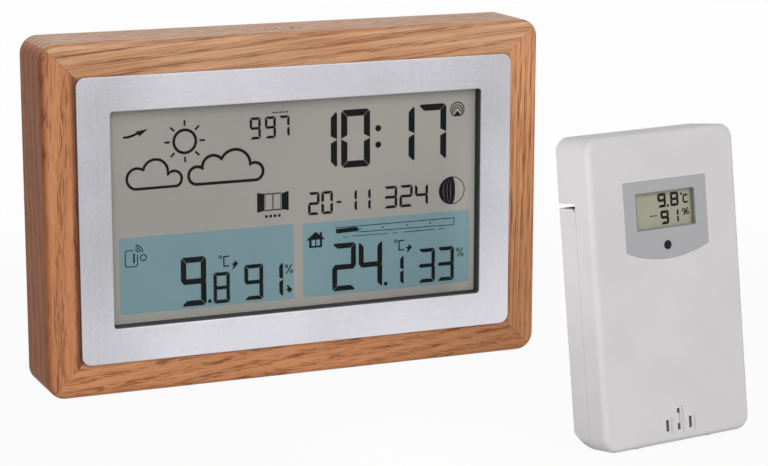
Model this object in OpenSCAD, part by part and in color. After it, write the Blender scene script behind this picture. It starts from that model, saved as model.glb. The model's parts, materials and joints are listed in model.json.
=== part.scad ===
// Weather station in a mitred oak frame, with its remote sensor leaning on a fold-out stand.
// Millimetres. The origin is the middle of the station's underside, +Z is up, the front faces -Y.

/* [Oak frame] */
// Overall width of the oak frame
frame_w = 194; // [186:1:215]
// Overall height of the oak frame
frame_h = 129; // [124:1:145]
// Depth of the oak frame, front to back
frame_d = 30; // [30:1:38]
// Width of oak that shows around the bezel
oak_reveal = 12.2; // [11:0.1:14]
// Radius of the four outer corners, seen from the front
frame_corner_r = 6.5; // [6:0.5:9]
// Radius that softens the outer edges
frame_edge_r = 2.5; // [1.5:0.25:3.5]
// How far the bezel lies over the oak
bezel_lap = 4; // [3:0.25:4]
// Width of the step at the back that seats the rear cover
rabbet_w = 3; // [2:0.25:4]

/* [Bezel and display] */
// Thickness of the aluminium bezel
bezel_t = 0.8; // [0.5:0.1:1.2]
// Bezel width left and right of the window
bezel_side = 12.2; // [12:0.1:15]
// Bezel width above and below the window
bezel_top = 12.7; // [12.5:0.1:15]
// Radius of the bezel's outer corners
bezel_corner_r = 3.5; // [3:0.5:7]
// Radius of the window's corners
window_corner_r = 1.2; // [0.5:0.1:2.5]
// Thickness of the front housing's face plate behind the bezel
face_plate_t = 2.8; // [2:0.1:3.2]
// Thickness of the clear display window
window_t = 1; // [0.6:0.1:1.4]
// Thickness of the display's glass pair
lcd_t = 2.8; // [2:0.1:3]
// How far the display glass reaches past the window opening
lcd_margin = 2.4; // [1.8:0.1:2.4]
// Thickness of the light guide
light_guide_t = 2.5; // [1.5:0.1:2.8]

/* [Station housing] */
// Wall thickness of the front housing
housing_wall = 1.8; // [1.4:0.1:2]
// Thickness of the rear cover
cover_t = 2; // [1.8:0.1:2.4]
// How far the rear cover lies below the oak's back face
cover_recess = 1.5; // [1.2:0.1:2]
// Thickness of the circuit boards
board_t = 1.6; // [1.2:0.1:2]
// Radius of the screw shanks
screw_r = 1; // [0.8:0.05:1.1]

/* [Station batteries] */
// Radius of a battery cell
cell_r = 5.25; // [5:0.05:5.3]
// Length of a battery cell with its cap
cell_l = 44.5; // [43:0.5:45]
// Number of cells in the station
station_cells = 3; // [2, 3]
// Height of the battery compartment's middle, as a share of half the inner height
well_share = -0.357; // [-0.37:0.001:-0.33]
// Thickness of the battery door
door_t = 1.8; // [1.6:0.1:1.9]

/* [Station buttons] */
// Distance between neighbouring buttons
button_pitch = 16; // [14:0.5:17]
// Radius of a button
button_r = 3.2; // [2.6:0.1:4]
// Height of the button row, as a share of half the inner height
button_share = 0.465; // [0.45:0.001:0.49]
// Travel of a button
button_travel = 0.8; // [0.5:0.1:0.8]
// How far a button stands out of the rear cover
button_proud = 1; // [0.8:0.1:1.2]

/* [Wall hanging] */
// Distance between the two keyholes
hang_pitch = 90; // [70:1:100]
// Height of the keyholes, as a share of half the inner height
hang_share = 0.833; // [0.8:0.001:0.85]
// Radius of a keyhole's round end
hang_hole_r = 4; // [3.5:0.1:4.5]
// Half width of a keyhole's slot
hang_slot_r = 2; // [1.5:0.1:2.2]

/* [Remote sensor] */
// Width of the sensor
sensor_w = 62; // [60:0.5:70]
// Height of the sensor
sensor_h = 105.5; // [104:0.5:120]
// Depth of the sensor
sensor_d = 19; // [18.8:0.1:22]
// Depth of the sensor's front housing
sensor_split = 9; // [8.8:0.1:9.4]
// Radius of the sensor's corners, seen from the front
sensor_corner_r = 5; // [4.5:0.5:8]
// Radius that softens the sensor's front edge
sensor_front_r = 2; // [1.5:0.1:3]
// Radius that softens the sensor's back edge
sensor_back_r = 2; // [1:0.1:3]
// Height of the bevel along the sensor's lower back edge
sensor_toe_h = 7; // [5:0.5:8]
// Radius of the battery cover's upper front corners, seen from the side
sensor_cover_r = 2.5; // [1.5:0.5:4]
// Wall thickness of the sensor
sensor_wall = 1.8; // [1.6:0.1:2]
// Height of the sensor's upper shell with the gap below it
sensor_shell_h = 23.6; // [22.5:0.1:25.5]
// Gap above the sensor's battery cover
sensor_cover_gap = 1.7; // [1.6:0.1:2.2]
// Angle by which the sensor leans back
sensor_lean = 8; // [7:0.5:9]
// Angle by which the sensor is turned towards the right
sensor_yaw = 9; // [0:1:15]
// Sideways place of the sensor's front lower edge
sensor_x = 85.5; // [80:0.5:110]
// Front-to-back place of the sensor's front lower edge
sensor_y = -148.5; // [-170:0.5:-145]

/* [Sensor display] */
// Width of the sensor's grey display panel
panel_w = 35; // [32:0.5:38]
// Distance of the panel below the sensor's top
panel_drop = 16.3; // [15.5:0.1:17.5]
// Length of the panel's straight sides
panel_side = 23.2; // [22:0.1:24.2]
// Depth of the rounded lower edge
panel_arc = 3.5; // [2:0.25:4]
// Thickness of the panel
panel_t = 0.9; // [0.7:0.05:1]
// Width of the sensor's display opening
eye_w = 24.4; // [22:0.2:26]
// Height of the sensor's display opening
eye_h = 12; // [11:0.2:13]
// Distance of the display opening's middle below the panel's top
eye_drop = 10.2; // [9.7:0.1:10.7]
// Distance of the signal lamp below the panel's top
lamp_drop = 22.2; // [21.7:0.1:22.7]
// Radius of the signal lamp
lamp_r = 1.3; // [1:0.1:1.5]

/* [Sensor stand] */
// Angle between the open stand leg and the sensor's back
stand_open = 24; // [22:0.5:26]
// Height of the stand's hinge up the sensor's back
stand_z = 42; // [40:0.5:44]
// Width of the stand leg
stand_w = 19; // [16:0.5:20]
// Thickness of the stand leg
stand_t = 2.6; // [2.2:0.1:2.8]
// Radius of the hinge pin
pin_r = 1; // [0.8:0.05:1.1]

/* [Hidden] */

$fn = 64;

// Overrun of cuts past the faces they open
cut = 1;
// Slide fit around loose pieces
slip = 0.3;
// Gap between stacked flat pieces
seat = 0.2;
// Running clearance of a pin in its bore
pin_gap = 0.05;

// Planes of the station, front to back
front_y = -frame_d/2;
back_y = frame_d/2;
mid_z = frame_h/2;
flange_t = 0.7;
flange_inset = 0.4;
flange_y = front_y - flange_t;
bezel_y = flange_y - bezel_t;
plate_back_y = flange_y + face_plate_t;
window_back_y = plate_back_y + window_t;
lcd_y = window_back_y + seat;
lcd_back_y = lcd_y + lcd_t;
guide_y = lcd_back_y + seat;
guide_back_y = guide_y + light_guide_t;
holder_t = 1.8;
holder_y = guide_back_y + seat;
holder_back_y = holder_y + holder_t;
board_y = holder_back_y + slip;
board_back_y = board_y + board_t;
cover_back_y = back_y - cover_recess;
cover_y = cover_back_y - cover_t;

// Outlines of the station, seen from the front
member_w = oak_reveal + bezel_lap;
opening_w = frame_w - 2*member_w;
opening_h = frame_h - 2*member_w;
bezel_w = frame_w - 2*oak_reveal;
bezel_h = frame_h - 2*oak_reveal;
window_w = bezel_w - 2*bezel_side;
window_h = bezel_h - 2*bezel_top;
housing_w = opening_w - 2*slip;
housing_h = opening_h - 2*slip;
housing_corner_r = 2.5;
cavity_w = housing_w - 2*housing_wall;
cavity_h = housing_h - 2*housing_wall;
cavity_corner_r = 1;
lcd_w = window_w + 2*lcd_margin;
lcd_h = window_h + 2*lcd_margin;
lcd_corner_r = 0.6;
well_z = mid_z + well_share*cavity_h/2;
button_z = mid_z + button_share*cavity_h/2;
hang_z = mid_z + hang_share*cavity_h/2;

// Strips that join the display to the board
strip_t = 2;
strip_inset = 1.2;
strip_end = 6;
strip_z = lcd_h/2 - strip_inset - strip_t/2;
guide_h = 2*(strip_z - strip_t/2 - slip);

// Screw posts of the front housing
post_r = 2.4;
post_inset = 2.2;
post_x = cavity_w/2 - post_inset;
post_z = cavity_h/2 - post_inset;
lug_r = 2.2;
lug_inset = 1.1;
lug_x = cavity_w/2 - lug_inset;
lug_z = 25;
lug_hole_r = 0.7;
lug_head_gap = 0.1;
lug_head_r = lug_inset - lug_head_gap;
hole_gap = 0.05;
screw_depth = 9;
screw_head_r = 2;
screw_head_t = 1.1;
post_hole_depth = screw_depth + slip;

// Board and its parts
board_side_gap = 7.5;
board_overhang = 0.5;
board_w = cavity_w - 2*board_side_gap;
board_h = lcd_h + 2*board_overhang;
board_hole_inset = 5;
board_screw_x = board_w/2 - board_hole_inset;
board_screw_z = strip_z - board_hole_inset;
small_head_r = 1.5;
small_head_t = 0.8;

// Battery compartment of the station
door_y = cover_back_y - door_t;
cell_y = door_y - slip - cell_r;
cell_cap_r = 1.9;
cell_cap_l = 1.2;
cell_gap = 0.7;
cell_pitch = 2*cell_r + cell_gap;
contact_t = 0.5;
contact_room = 3.4;
contact_bump = 1;
well_in_w = cell_l + 2*contact_room;
well_in_h = station_cells*cell_pitch;
well_wall = 1.2;
well_floor_y = cell_y - cell_r - seat;
ledge_w = 2;
ledge_t = 1.4;
door_w = well_in_w + 2*ledge_w;
door_h = well_in_h + 2*ledge_w;
door_low_z = well_z - door_h/2;
door_axis_y = door_y + door_t/2;
door_axis_z = door_low_z + door_t/2;
door_pin_r = 0.6;
door_pin_l = 1.4;
door_pin_end = 0.2;
latch_w = 14;
latch_h = 3;
latch_ridge_t = 0.6;
latch_ridge_h = 1;

// Buttons, their board and their switches
button_count = 6;
button_end_y = cover_back_y + button_proud;
button_flange_w = 1;
button_flange_t = 1;
button_flange_y = cover_y - slip - button_flange_t;
button_tail = 1.2;
button_inner_y = button_flange_y - button_tail;
button_dome = 0.4;
plunger_l = 0.9;
plunger_r = 1.2;
press_gap = 0.1;
switch_top_y = button_inner_y - button_travel - press_gap;
switch_w = 5;
switch_t = 2.2;
key_board_back_y = switch_top_y - plunger_l - switch_t;
key_board_h = 11;
key_board_end = 8.5;
key_post_x = (button_count - 1)*button_pitch/2 + key_board_end;
key_board_margin = 3;
key_board_w = 2*(key_post_x + key_board_margin);
ribbon_w = 9;
ribbon_t = 0.4;
ribbon_x = 1.5*button_pitch;

// Wall keyholes
hang_rise = 6;

// Receiver antenna
rod_r = 3.6;
rod_l = 52;
rod_share = 0.773;
rod_gap = 3.4;
rod_z = mid_z + rod_share*cavity_h/2;
rod_y = cover_y - rod_r - rod_gap;
coil_r = 5;
coil_l = 22;
saddle_w = 4;
saddle_x = 19;
saddle_wall = 1.4;

// Sounder
sounder_r = 9;
sounder_t = 0.5;
sounder_inset = 22.7;
sounder_x = sounder_inset - cavity_w/2;
sounder_z = well_z;
sounder_wall = 1.2;
sounder_ledge_w = 1;
sounder_ledge_t = 1.2;
sound_hole_r = 0.8;
sound_hole_ring = 3.4;

// Room sensor and its vents
room_inset = 20.7;
room_x = cavity_w/2 - room_inset;
room_z = well_z;
room_board_w = 14;
room_board_h = 16;
room_board_t = 1;
room_post_l = 2.6;
room_post_r = 1.4;
room_chip_w = 3;
room_chip_t = 1;
vent_count = 5;
vent_pitch = 3.2;
vent_w = 12;
vent_h = 1.4;

// Touch plate under the top rail
touch_w = 40;
touch_d = 9;
touch_t = 0.3;
touch_x = 0;

// Wires run straight back from the board
wire_r = 0.5;
wire_pair = 2.2;

// Sensor planes and outlines, in the sensor's own frame
s_in_w = sensor_w - 2*sensor_wall;
s_in_h = sensor_h - 2*sensor_wall;
s_in_r = sensor_corner_r - sensor_wall;
s_back_in = sensor_d - sensor_wall;
panel_gap = 0.1;
eye_lap = 0.8;
s_lcd_t = 1.8;
s_lcd_margin_x = 3;
s_lcd_margin_z = 3;
s_lcd_y = sensor_wall + seat;
s_strip_l = 1;
s_strip_t = 1.4;
s_board_t = 1.2;
s_board_y = s_lcd_y + s_lcd_t + s_strip_l;
s_board_back = s_board_y + s_board_t;
s_plate_t = 1.2;
s_plate_y = sensor_split;
s_plate_back = s_plate_y + s_plate_t;
s_toe_y = s_plate_back + slip;
s_toe_angle = atan2(sensor_toe_h, sensor_d - s_toe_y);
s_lift = s_toe_y*sin(sensor_lean);
s_cover_wall = 1.6;
s_cover_y = sensor_split + panel_gap;
sensor_cover_h = sensor_h - sensor_shell_h;
s_shell_z = sensor_cover_h + sensor_cover_gap;
panel_top = sensor_h - panel_drop;
panel_side_end = panel_top - panel_side;
eye_z = panel_top - eye_drop;
lamp_z = panel_top - lamp_drop;

// Sensor batteries and their tray
s_cells = 2;
s_tray_wall = 1.1;
s_tray_floor_y = 2.2;
s_cell_y = s_tray_floor_y + s_tray_wall + seat + cell_r;
s_tray_low = 9.2;
s_tray_in_h = cell_l + 2*contact_room;
s_tray_in_w = s_cells*cell_pitch;
s_tray_top = s_tray_low + s_tray_in_h;
s_tray_over = 2.6;
s_tray_back = s_cell_y + s_tray_over;

// Sensor board and posts
s_board_low = s_tray_top + s_tray_wall + slip;
s_board_drop = 8.5;
s_board_top = sensor_h - s_board_drop;
s_post_r = 2.3;
s_post_inset = 4;
s_post_rise = 15;
s_post_x = s_in_w/2 - s_post_inset;
s_post_zs = [s_tray_low + s_post_inset, s_board_low + s_post_rise];
s_board_side_gap = 0.9;
s_board_w = 2*(s_post_x - s_post_r - s_board_side_gap);
s_board_hole_inset = 4.5;
s_board_post_inset = 3;
s_board_post_x = s_board_w/2 - s_board_post_inset;
s_board_post_zs = [s_board_low + s_board_hole_inset, s_board_top - s_board_hole_inset];

// Sensor stand and feet
recess_d = 3.5;
recess_wall = 1.1;
recess_w = stand_w + 2*slip;
stand_y = sensor_d - recess_d/2;
knuckle_gap = 0.15;
knuckle_r = recess_d/2 - knuckle_gap;
stand_tip_r = stand_t/2;
stand_reach = (s_lift + stand_z*cos(sensor_lean) - stand_y*sin(sensor_lean) - stand_tip_r)
    / cos(stand_open - sensor_lean);
ear_w = 3;
ear_h = 3;
foot_r = 2;
foot_x = 15.3;
foot_y = 4.6;
foot_z = (foot_r + foot_y*sin(sensor_lean) - s_lift)/cos(sensor_lean);

// Sensor vents
s_vent_w = 1.2;
s_vent_low = 4.1;
s_vent_h = 4;
s_vent_mid_h = 7.4;
s_vent_pitch = 4.9;
s_fin_w = 0.5;
s_fin_t = 0.5;
s_fin_gap = 0.7;

// Sensor controls
send_x = -12;
send_rise = 9;
send_z = s_board_low + send_rise;
send_r = 2.1;
send_travel = 0.6;
send_flange_t = 0.6;
send_tip = 1.8;
send_inner_y = s_plate_y - seat - send_flange_t;
channel_x = 9;
channel_z = send_z;
channel_step = 2;
channel_knob_w = 2.4;
channel_knob_h = 2.6;
channel_flange_w = 1.1;

// Builds a shape drawn in X and Z from depth y0 back to depth y1
module across(y0, y1) {
    translate([0, y1, 0]) rotate([90, 0, 0]) linear_extrude(y1 - y0) children();
}

// A round bar along Y from depth y0 back to depth y1
module bar_y(r, y0, y1) {
    translate([0, y0, 0]) rotate([-90, 0, 0]) cylinder(r = r, h = y1 - y0);
}

// A round bar along X, centred
module bar_x(r, l) {
    translate([-l/2, 0, 0]) rotate([0, 90, 0]) cylinder(r = r, h = l);
}

// A rectangle with round corners, centred
module rounded_rect(w, h, r) {
    square([w - 2*r, h], center = true);
    square([w, h - 2*r], center = true);
    for (sx = [-1, 1], sy = [-1, 1])
        translate([sx*(w/2 - r), sy*(h/2 - r)]) circle(r = r);
}

// A block w by h, seen from the front, between two depths
module plate(w, h, r, y0, y1) {
    across(y0, y1) rounded_rect(w, h, r);
}

// Half of a rim section: x runs out from the middle, y runs back, with soft outer edges
module rim_section(reach, d, front_r, back_r) {
    translate([0, front_r]) square([reach, d - front_r - back_r]);
    square([reach - front_r, front_r]);
    translate([0, d - back_r]) square([reach - back_r, back_r]);
    translate([reach - front_r, front_r]) circle(r = front_r);
    translate([reach - back_r, d - back_r]) circle(r = back_r);
}

// A block with round corners from the front and soft front and back edges, standing on z = 0
module soft_slab(w, h, d, corner_r, front_r, back_r) {
    run = w - 2*corner_r;
    translate([0, 0, corner_r]) linear_extrude(h - 2*corner_r) {
        rim_section(w/2, d, front_r, back_r);
        mirror([1, 0]) rim_section(w/2, d, front_r, back_r);
    }
    translate([run/2, 0, h - corner_r]) rotate([0, -90, 0])
        linear_extrude(run) rim_section(corner_r, d, front_r, back_r);
    translate([-run/2, 0, corner_r]) rotate([0, 90, 0])
        linear_extrude(run) rim_section(corner_r, d, front_r, back_r);
    for (c = [[1, 1, -90], [-1, 1, 180], [-1, -1, 90], [1, -1, 0]])
        translate([c[0]*run/2, 0, h/2 + c[1]*(h/2 - corner_r)])
            rotate([-90, 0, 0]) rotate([0, 0, c[2]])
                rotate_extrude(angle = 90) rim_section(corner_r, d, front_r, back_r);
}

// A flat-headed screw whose head lies at depth y0 and whose shank runs forward
module screw(shank_r, shank_l, head_r, head_t, y0) {
    bar_y(head_r, y0 - head_t, y0);
    bar_y(shank_r, y0 - head_t - shank_l, y0 - head_t);
}

// A battery cell along X, with its cap at +X
module cell() {
    body_l = cell_l - cell_cap_l;
    translate([-cell_cap_l/2, 0, 0]) bar_x(cell_r, body_l);
    translate([body_l/2, 0, 0]) bar_x(cell_cap_r, cell_cap_l);
}

// A leaf contact that stands against a compartment wall at x = 0 and bulges towards +X
module leaf_contact(h) {
    room = contact_room - seat;
    translate([0, -contact_bump*2, -h/2]) cube([contact_t, 4*contact_bump, h]);
    translate([contact_t, -contact_bump, -contact_bump])
        cube([room - contact_t - seat, 2*contact_bump, 2*contact_bump]);
}

// The whole oak block before it is cut into members
module oak_block() {
    translate([0, front_y, 0])
        soft_slab(frame_w, frame_h, frame_d, frame_corner_r, frame_edge_r, frame_edge_r);
}

// The step at the back of the frame's opening that seats the rear cover
module oak_step() {
    translate([0, 0, mid_z])
        across(cover_y, back_y + cut) square([opening_w + 2*rabbet_w, opening_h + 2*rabbet_w],
            center = true);
}

// A member with its mitred ends: a trapezium of the given length, one member deep
module mitred(run) {
    across(front_y - cut, back_y + cut)
        polygon([[-run/2, 0], [run/2, 0], [run/2 - member_w, member_w], [-run/2 + member_w, member_w]]);
}

module frame_bottom_rail() {
    color("peru") difference() {
        intersection() {
            oak_block();
            mitred(frame_w);
        }
        oak_step();
    }
}

module frame_top_rail() {
    color("peru") difference() {
        intersection() {
            oak_block();
            translate([0, 0, frame_h]) mirror([0, 0, 1]) mitred(frame_w);
        }
        oak_step();
    }
}

module frame_left_stile() {
    color("peru") difference() {
        intersection() {
            oak_block();
            translate([-frame_w/2, 0, mid_z]) rotate([0, 90, 0]) mitred(frame_h);
        }
        oak_step();
    }
}

module frame_right_stile() {
    color("peru") difference() {
        intersection() {
            oak_block();
            translate([frame_w/2, 0, mid_z]) rotate([0, -90, 0]) mitred(frame_h);
        }
        oak_step();
    }
}

module bezel() {
    color("silver") translate([0, 0, mid_z]) difference() {
        plate(bezel_w, bezel_h, bezel_corner_r, bezel_y, flange_y);
        plate(window_w, window_h, window_corner_r, bezel_y - cut, flange_y + cut);
    }
}

module front_housing() {
    color("dimgray") translate([0, 0, mid_z]) difference() {
        union() {
            plate(bezel_w - 2*flange_inset, bezel_h - 2*flange_inset,
                bezel_corner_r - flange_inset, flange_y, front_y);
            difference() {
                plate(housing_w, housing_h, housing_corner_r, front_y - flange_t/2, cover_y);
                plate(cavity_w, cavity_h, cavity_corner_r, plate_back_y, cover_y + cut);
            }
            intersection() {
                plate(cavity_w + housing_wall, cavity_h + housing_wall, cavity_corner_r,
                    plate_back_y - face_plate_t/2, cover_y);
                union() {
                    for (sx = [-1, 1], sz = [-1, 1]) {
                        translate([sx*post_x, 0, sz*post_z])
                            bar_y(post_r, plate_back_y - flange_t, cover_y);
                        translate([sx*lug_x, 0, sz*lug_z])
                            bar_y(lug_r, plate_back_y - flange_t, holder_y);
                    }
                }
            }
        }
        plate(window_w, window_h, window_corner_r, flange_y - cut, plate_back_y + cut);
        for (sx = [-1, 1], sz = [-1, 1]) {
            translate([sx*post_x, 0, sz*post_z])
                bar_y(screw_r + hole_gap, cover_y - post_hole_depth, cover_y + cut);
            translate([sx*lug_x, 0, sz*lug_z])
                bar_y(lug_hole_r + hole_gap, plate_back_y + flange_t, holder_y + cut);
        }
    }
}

module display_window() {
    color("azure", 0.35) translate([0, 0, mid_z])
        plate(lcd_w, lcd_h, lcd_corner_r, plate_back_y, window_back_y);
}

module lcd_panel() {
    color("darkkhaki") translate([0, 0, mid_z])
        plate(lcd_w, lcd_h, lcd_corner_r, lcd_y, lcd_back_y);
}

module light_guide() {
    color("white") translate([0, 0, mid_z])
        plate(lcd_w, guide_h, lcd_corner_r, guide_y, guide_back_y);
}

module lcd_holder() {
    holder_w = 2*(lug_x + lug_inset) - 2*slip;
    color("gainsboro") translate([0, 0, mid_z]) difference() {
        union() {
            plate(lcd_w - 2*slip, board_h, lcd_corner_r, holder_y, holder_back_y);
            for (sz = [-1, 1])
                translate([0, 0, sz*lug_z])
                    plate(holder_w, 3*lug_r, lcd_corner_r, holder_y, holder_back_y);
        }
        for (sz = [-1, 1])
            translate([0, 0, sz*strip_z])
                plate(lcd_w - 2*strip_end + 2*slip, strip_t + 2*slip, slip,
                    holder_y - cut, holder_back_y + cut);
        for (sx = [-1, 1], sz = [-1, 1]) {
            translate([sx*lug_x, 0, sz*lug_z])
                bar_y(lug_hole_r + hole_gap, holder_y - cut, holder_back_y + cut);
            translate([sx*board_screw_x, 0, sz*board_screw_z])
                bar_y(lug_hole_r + hole_gap, holder_y - cut, holder_back_y + cut);
        }
    }
}

module lcd_connectors() {
    color("lightpink") translate([0, 0, mid_z])
        for (sz = [-1, 1])
            translate([0, 0, sz*strip_z])
                plate(lcd_w - 2*strip_end, strip_t, slip, lcd_back_y, board_y);
}

module main_board() {
    color("seagreen") translate([0, 0, mid_z]) difference() {
        plate(board_w, board_h, lcd_corner_r, board_y, board_back_y);
        for (sx = [-1, 1], sz = [-1, 1])
            translate([sx*board_screw_x, 0, sz*board_screw_z])
                bar_y(lug_hole_r + hole_gap, board_y - cut, board_back_y + cut);
    }
}

// Chips on the board's back: place across and up as shares of the board's size from its middle,
// then width and height as shares of its height, and thickness as a share of its own
chip_shares = [
    [0.323, -0.047, 0.141, 0.141, 0.75],
    [0.323, 0.153, 0.082, 0.059, 0.69],
    [-0.281, 0.259, 0.071, 0.106, 0.75],
    [-0.323, -0.4, 0.118, 0.047, 0.62],
    [0.211, -0.4, 0.094, 0.071, 0.8]
];
module board_chips() {
    color("black") translate([0, board_back_y, mid_z])
        for (c = chip_shares)
            translate([c[0]*board_w - c[2]*board_h/2, 0, (c[1] - c[3]/2)*board_h])
                cube([c[2]*board_h, c[4]*board_t, c[3]*board_h]);
}

module board_screws() {
    color("silver") translate([0, 0, mid_z])
        for (sx = [-1, 1], sz = [-1, 1]) {
            translate([sx*lug_x, 0, sz*lug_z])
                screw(lug_hole_r, holder_back_y - plate_back_y - face_plate_t, lug_head_r,
                    small_head_t, holder_back_y + small_head_t);
            translate([sx*board_screw_x, 0, sz*board_screw_z])
                screw(lug_hole_r, board_back_y - holder_y - seat, small_head_r,
                    small_head_t, board_back_y + small_head_t);
        }
}

module touch_plate() {
    color("darkgoldenrod")
        translate([touch_x - touch_w/2, -touch_d/2, mid_z + cavity_h/2 - touch_t])
            cube([touch_w, touch_d, touch_t]);
}

module ferrite_rod() {
    color("dimgray") translate([0, rod_y, rod_z]) bar_x(rod_r, rod_l);
}

module antenna_coil() {
    color("chocolate") translate([0, rod_y, rod_z]) difference() {
        bar_x(coil_r, coil_l);
        bar_x(rod_r + pin_gap, coil_l + 2*cut);
    }
}

// Straight leads from the main board back to the pieces that it feeds, and a flat cable to the keys
module hookup_wires() {
    color("crimson") {
        for (s = [-1, 1]) {
            translate([s*(well_in_w/2 + well_wall/2), 0, well_z + wire_pair])
                bar_y(wire_r, board_back_y, well_floor_y - well_wall);
            translate([s*(coil_l/2 - wire_pair), 0, rod_z])
                bar_y(wire_r, board_back_y, rod_y - coil_r);
            translate([sounder_x + s*wire_pair, 0, sounder_z])
                bar_y(wire_r, board_back_y, cover_y - sounder_ledge_t - sounder_t - seat);
            translate([room_x + s*wire_pair, 0, room_z])
                bar_y(wire_r, board_back_y, cover_y - room_post_l - room_board_t);
        }
        translate([ribbon_x - ribbon_w/2, board_back_y, button_z])
            cube([ribbon_w, key_board_back_y - board_t - board_back_y, ribbon_t]);
    }
}

// Keyhole outline: round end, with a slot that rises from it
module keyhole(hole_r, slot_r, rise) {
    circle(r = hole_r);
    translate([-slot_r, 0]) square([2*slot_r, rise]);
    translate([0, rise]) circle(r = slot_r);
}

module rear_cover() {
    rim_w = opening_w + 2*rabbet_w - 2*slip;
    rim_h = opening_h + 2*rabbet_w - 2*slip;
    color("dimgray") difference() {
        union() {
            translate([0, 0, mid_z]) plate(rim_w, rim_h, cavity_corner_r, cover_y, cover_back_y);
            translate([0, 0, well_z]) {
                plate(door_w + 2*ledge_w, door_h + 2*ledge_w, cavity_corner_r,
                    cover_y - ledge_t, cover_y + cover_t/2);
                plate(well_in_w + 2*well_wall, well_in_h + 2*well_wall, cavity_corner_r,
                    well_floor_y - well_wall, cover_y);
            }
            for (s = [-1, 1]) {
                translate([s*key_post_x, 0, button_z])
                    bar_y(lug_r, key_board_back_y, cover_y + cover_t/2);
                translate([s*saddle_x - saddle_w/2, rod_y - rod_r - saddle_wall,
                        rod_z - rod_r - saddle_wall])
                    cube([saddle_w, cover_y + cover_t/2 - rod_y + rod_r + saddle_wall,
                        2*rod_r + 2*saddle_wall]);
                translate([room_x + s*(room_board_w/2 - room_post_r), 0, room_z])
                    bar_y(room_post_r, cover_y - room_post_l, cover_y + cover_t/2);
            }
            translate([sounder_x, 0, sounder_z])
                bar_y(sounder_r + slip + sounder_wall, cover_y - sounder_ledge_t - 2*sounder_t,
                    cover_y + cover_t/2);
        }
        translate([0, 0, well_z]) {
            plate(door_w + 2*slip, door_h + 2*slip, slip, cover_y, cover_back_y + cut);
            plate(well_in_w, well_in_h, slip, well_floor_y, cover_back_y);
            translate([0, 0, door_h/2 + latch_h/2])
                plate(latch_w + 2*slip, latch_h + 2*slip, slip, door_y, cover_back_y + cut);
        }
        translate([0, door_axis_y, door_axis_z])
            bar_x(door_pin_r + pin_gap, door_w + 2*door_pin_l + 2*door_pin_end);
        for (i = [0 : button_count - 1])
            translate([(i - (button_count - 1)/2)*button_pitch, 0, button_z])
                bar_y(button_r + slip, cover_y - cut, cover_back_y + cut);
        for (sx = [-1, 1]) {
            translate([sx*key_post_x, 0, button_z])
                bar_y(lug_hole_r + hole_gap, key_board_back_y - cut, cover_y);
            translate([sx*saddle_x, rod_y, rod_z]) bar_x(rod_r + pin_gap, saddle_w + 2*cut);
            translate([sx*hang_pitch/2, 0, hang_z])
                across(cover_y - cut, cover_back_y + cut) keyhole(hang_hole_r, hang_slot_r, hang_rise);
            for (sz = [-1, 1])
                translate([sx*post_x, 0, mid_z + sz*post_z]) {
                    bar_y(screw_r + slip, cover_y - cut, cover_back_y + cut);
                    bar_y(screw_head_r + slip, cover_back_y - screw_head_t, cover_back_y + cut);
                }
        }
        translate([sounder_x, 0, sounder_z]) {
            bar_y(sounder_r + slip, cover_y - sounder_ledge_t - 2*sounder_t - cut,
                cover_y - sounder_ledge_t);
            bar_y(sounder_r - sounder_ledge_w, cover_y - sounder_ledge_t - cut, cover_y);
            bar_y(sound_hole_r, cover_y - cut, cover_back_y + cut);
            for (a = [0 : 60 : 300])
                translate([sound_hole_ring*cos(a), 0, sound_hole_ring*sin(a)])
                    bar_y(sound_hole_r, cover_y - cut, cover_back_y + cut);
        }
        for (i = [0 : vent_count - 1])
            translate([room_x, 0, room_z + (i - (vent_count - 1)/2)*vent_pitch])
                plate(vent_w, vent_h, slip, cover_y - cut, cover_back_y + cut);
    }
}

module cover_screws() {
    color("silver") translate([0, 0, mid_z])
        for (sx = [-1, 1], sz = [-1, 1])
            translate([sx*post_x, 0, sz*post_z])
                screw(screw_r, cover_t - screw_head_t + screw_depth, screw_head_r, screw_head_t - seat,
                    cover_back_y - seat);
}

module battery_door() {
    color("dimgray") {
        translate([0, 0, well_z + door_t/4])
            plate(door_w, door_h - door_t/2, slip, door_y, cover_back_y);
        translate([0, door_axis_y, door_axis_z]) {
            bar_x(door_t/2, door_w);
            bar_x(door_pin_r, door_w + 2*door_pin_l);
        }
        translate([0, 0, well_z + door_h/2 + latch_h/2 - slip])
            plate(latch_w, latch_h + 2*slip, slip, door_y + seat, cover_back_y);
        translate([-latch_w/2 + slip, cover_back_y - seat, well_z + door_h/2 + latch_h - latch_ridge_h])
            cube([latch_w - 2*slip, latch_ridge_t + seat, latch_ridge_h]);
    }
}

module batteries() {
    color("goldenrod")
        for (i = [0 : station_cells - 1])
            translate([0, cell_y, well_z + (i - (station_cells - 1)/2)*cell_pitch])
                mirror([i % 2, 0, 0]) cell();
}

module battery_contacts() {
    color("silver")
        for (i = [0 : station_cells - 1], s = [0, 1])
            translate([0, cell_y, well_z + (i - (station_cells - 1)/2)*cell_pitch])
                mirror([s, 0, 0]) translate([-well_in_w/2 + pin_gap, 0, 0]) leaf_contact(1.4*cell_r);
}

module key_board() {
    color("seagreen") translate([0, 0, button_z]) difference() {
        plate(key_board_w, key_board_h, lcd_corner_r, key_board_back_y - board_t, key_board_back_y);
        for (s = [-1, 1])
            translate([s*key_post_x, 0, 0])
                bar_y(lug_hole_r + hole_gap, key_board_back_y - board_t - cut, key_board_back_y + cut);
    }
}

module key_switches() {
    color("black")
        for (i = [0 : button_count - 1])
            translate([(i - (button_count - 1)/2)*button_pitch, 0, button_z]) {
                plate(switch_w, switch_w, slip, key_board_back_y, key_board_back_y + switch_t);
                bar_y(plunger_r, key_board_back_y, switch_top_y);
            }
}

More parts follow.
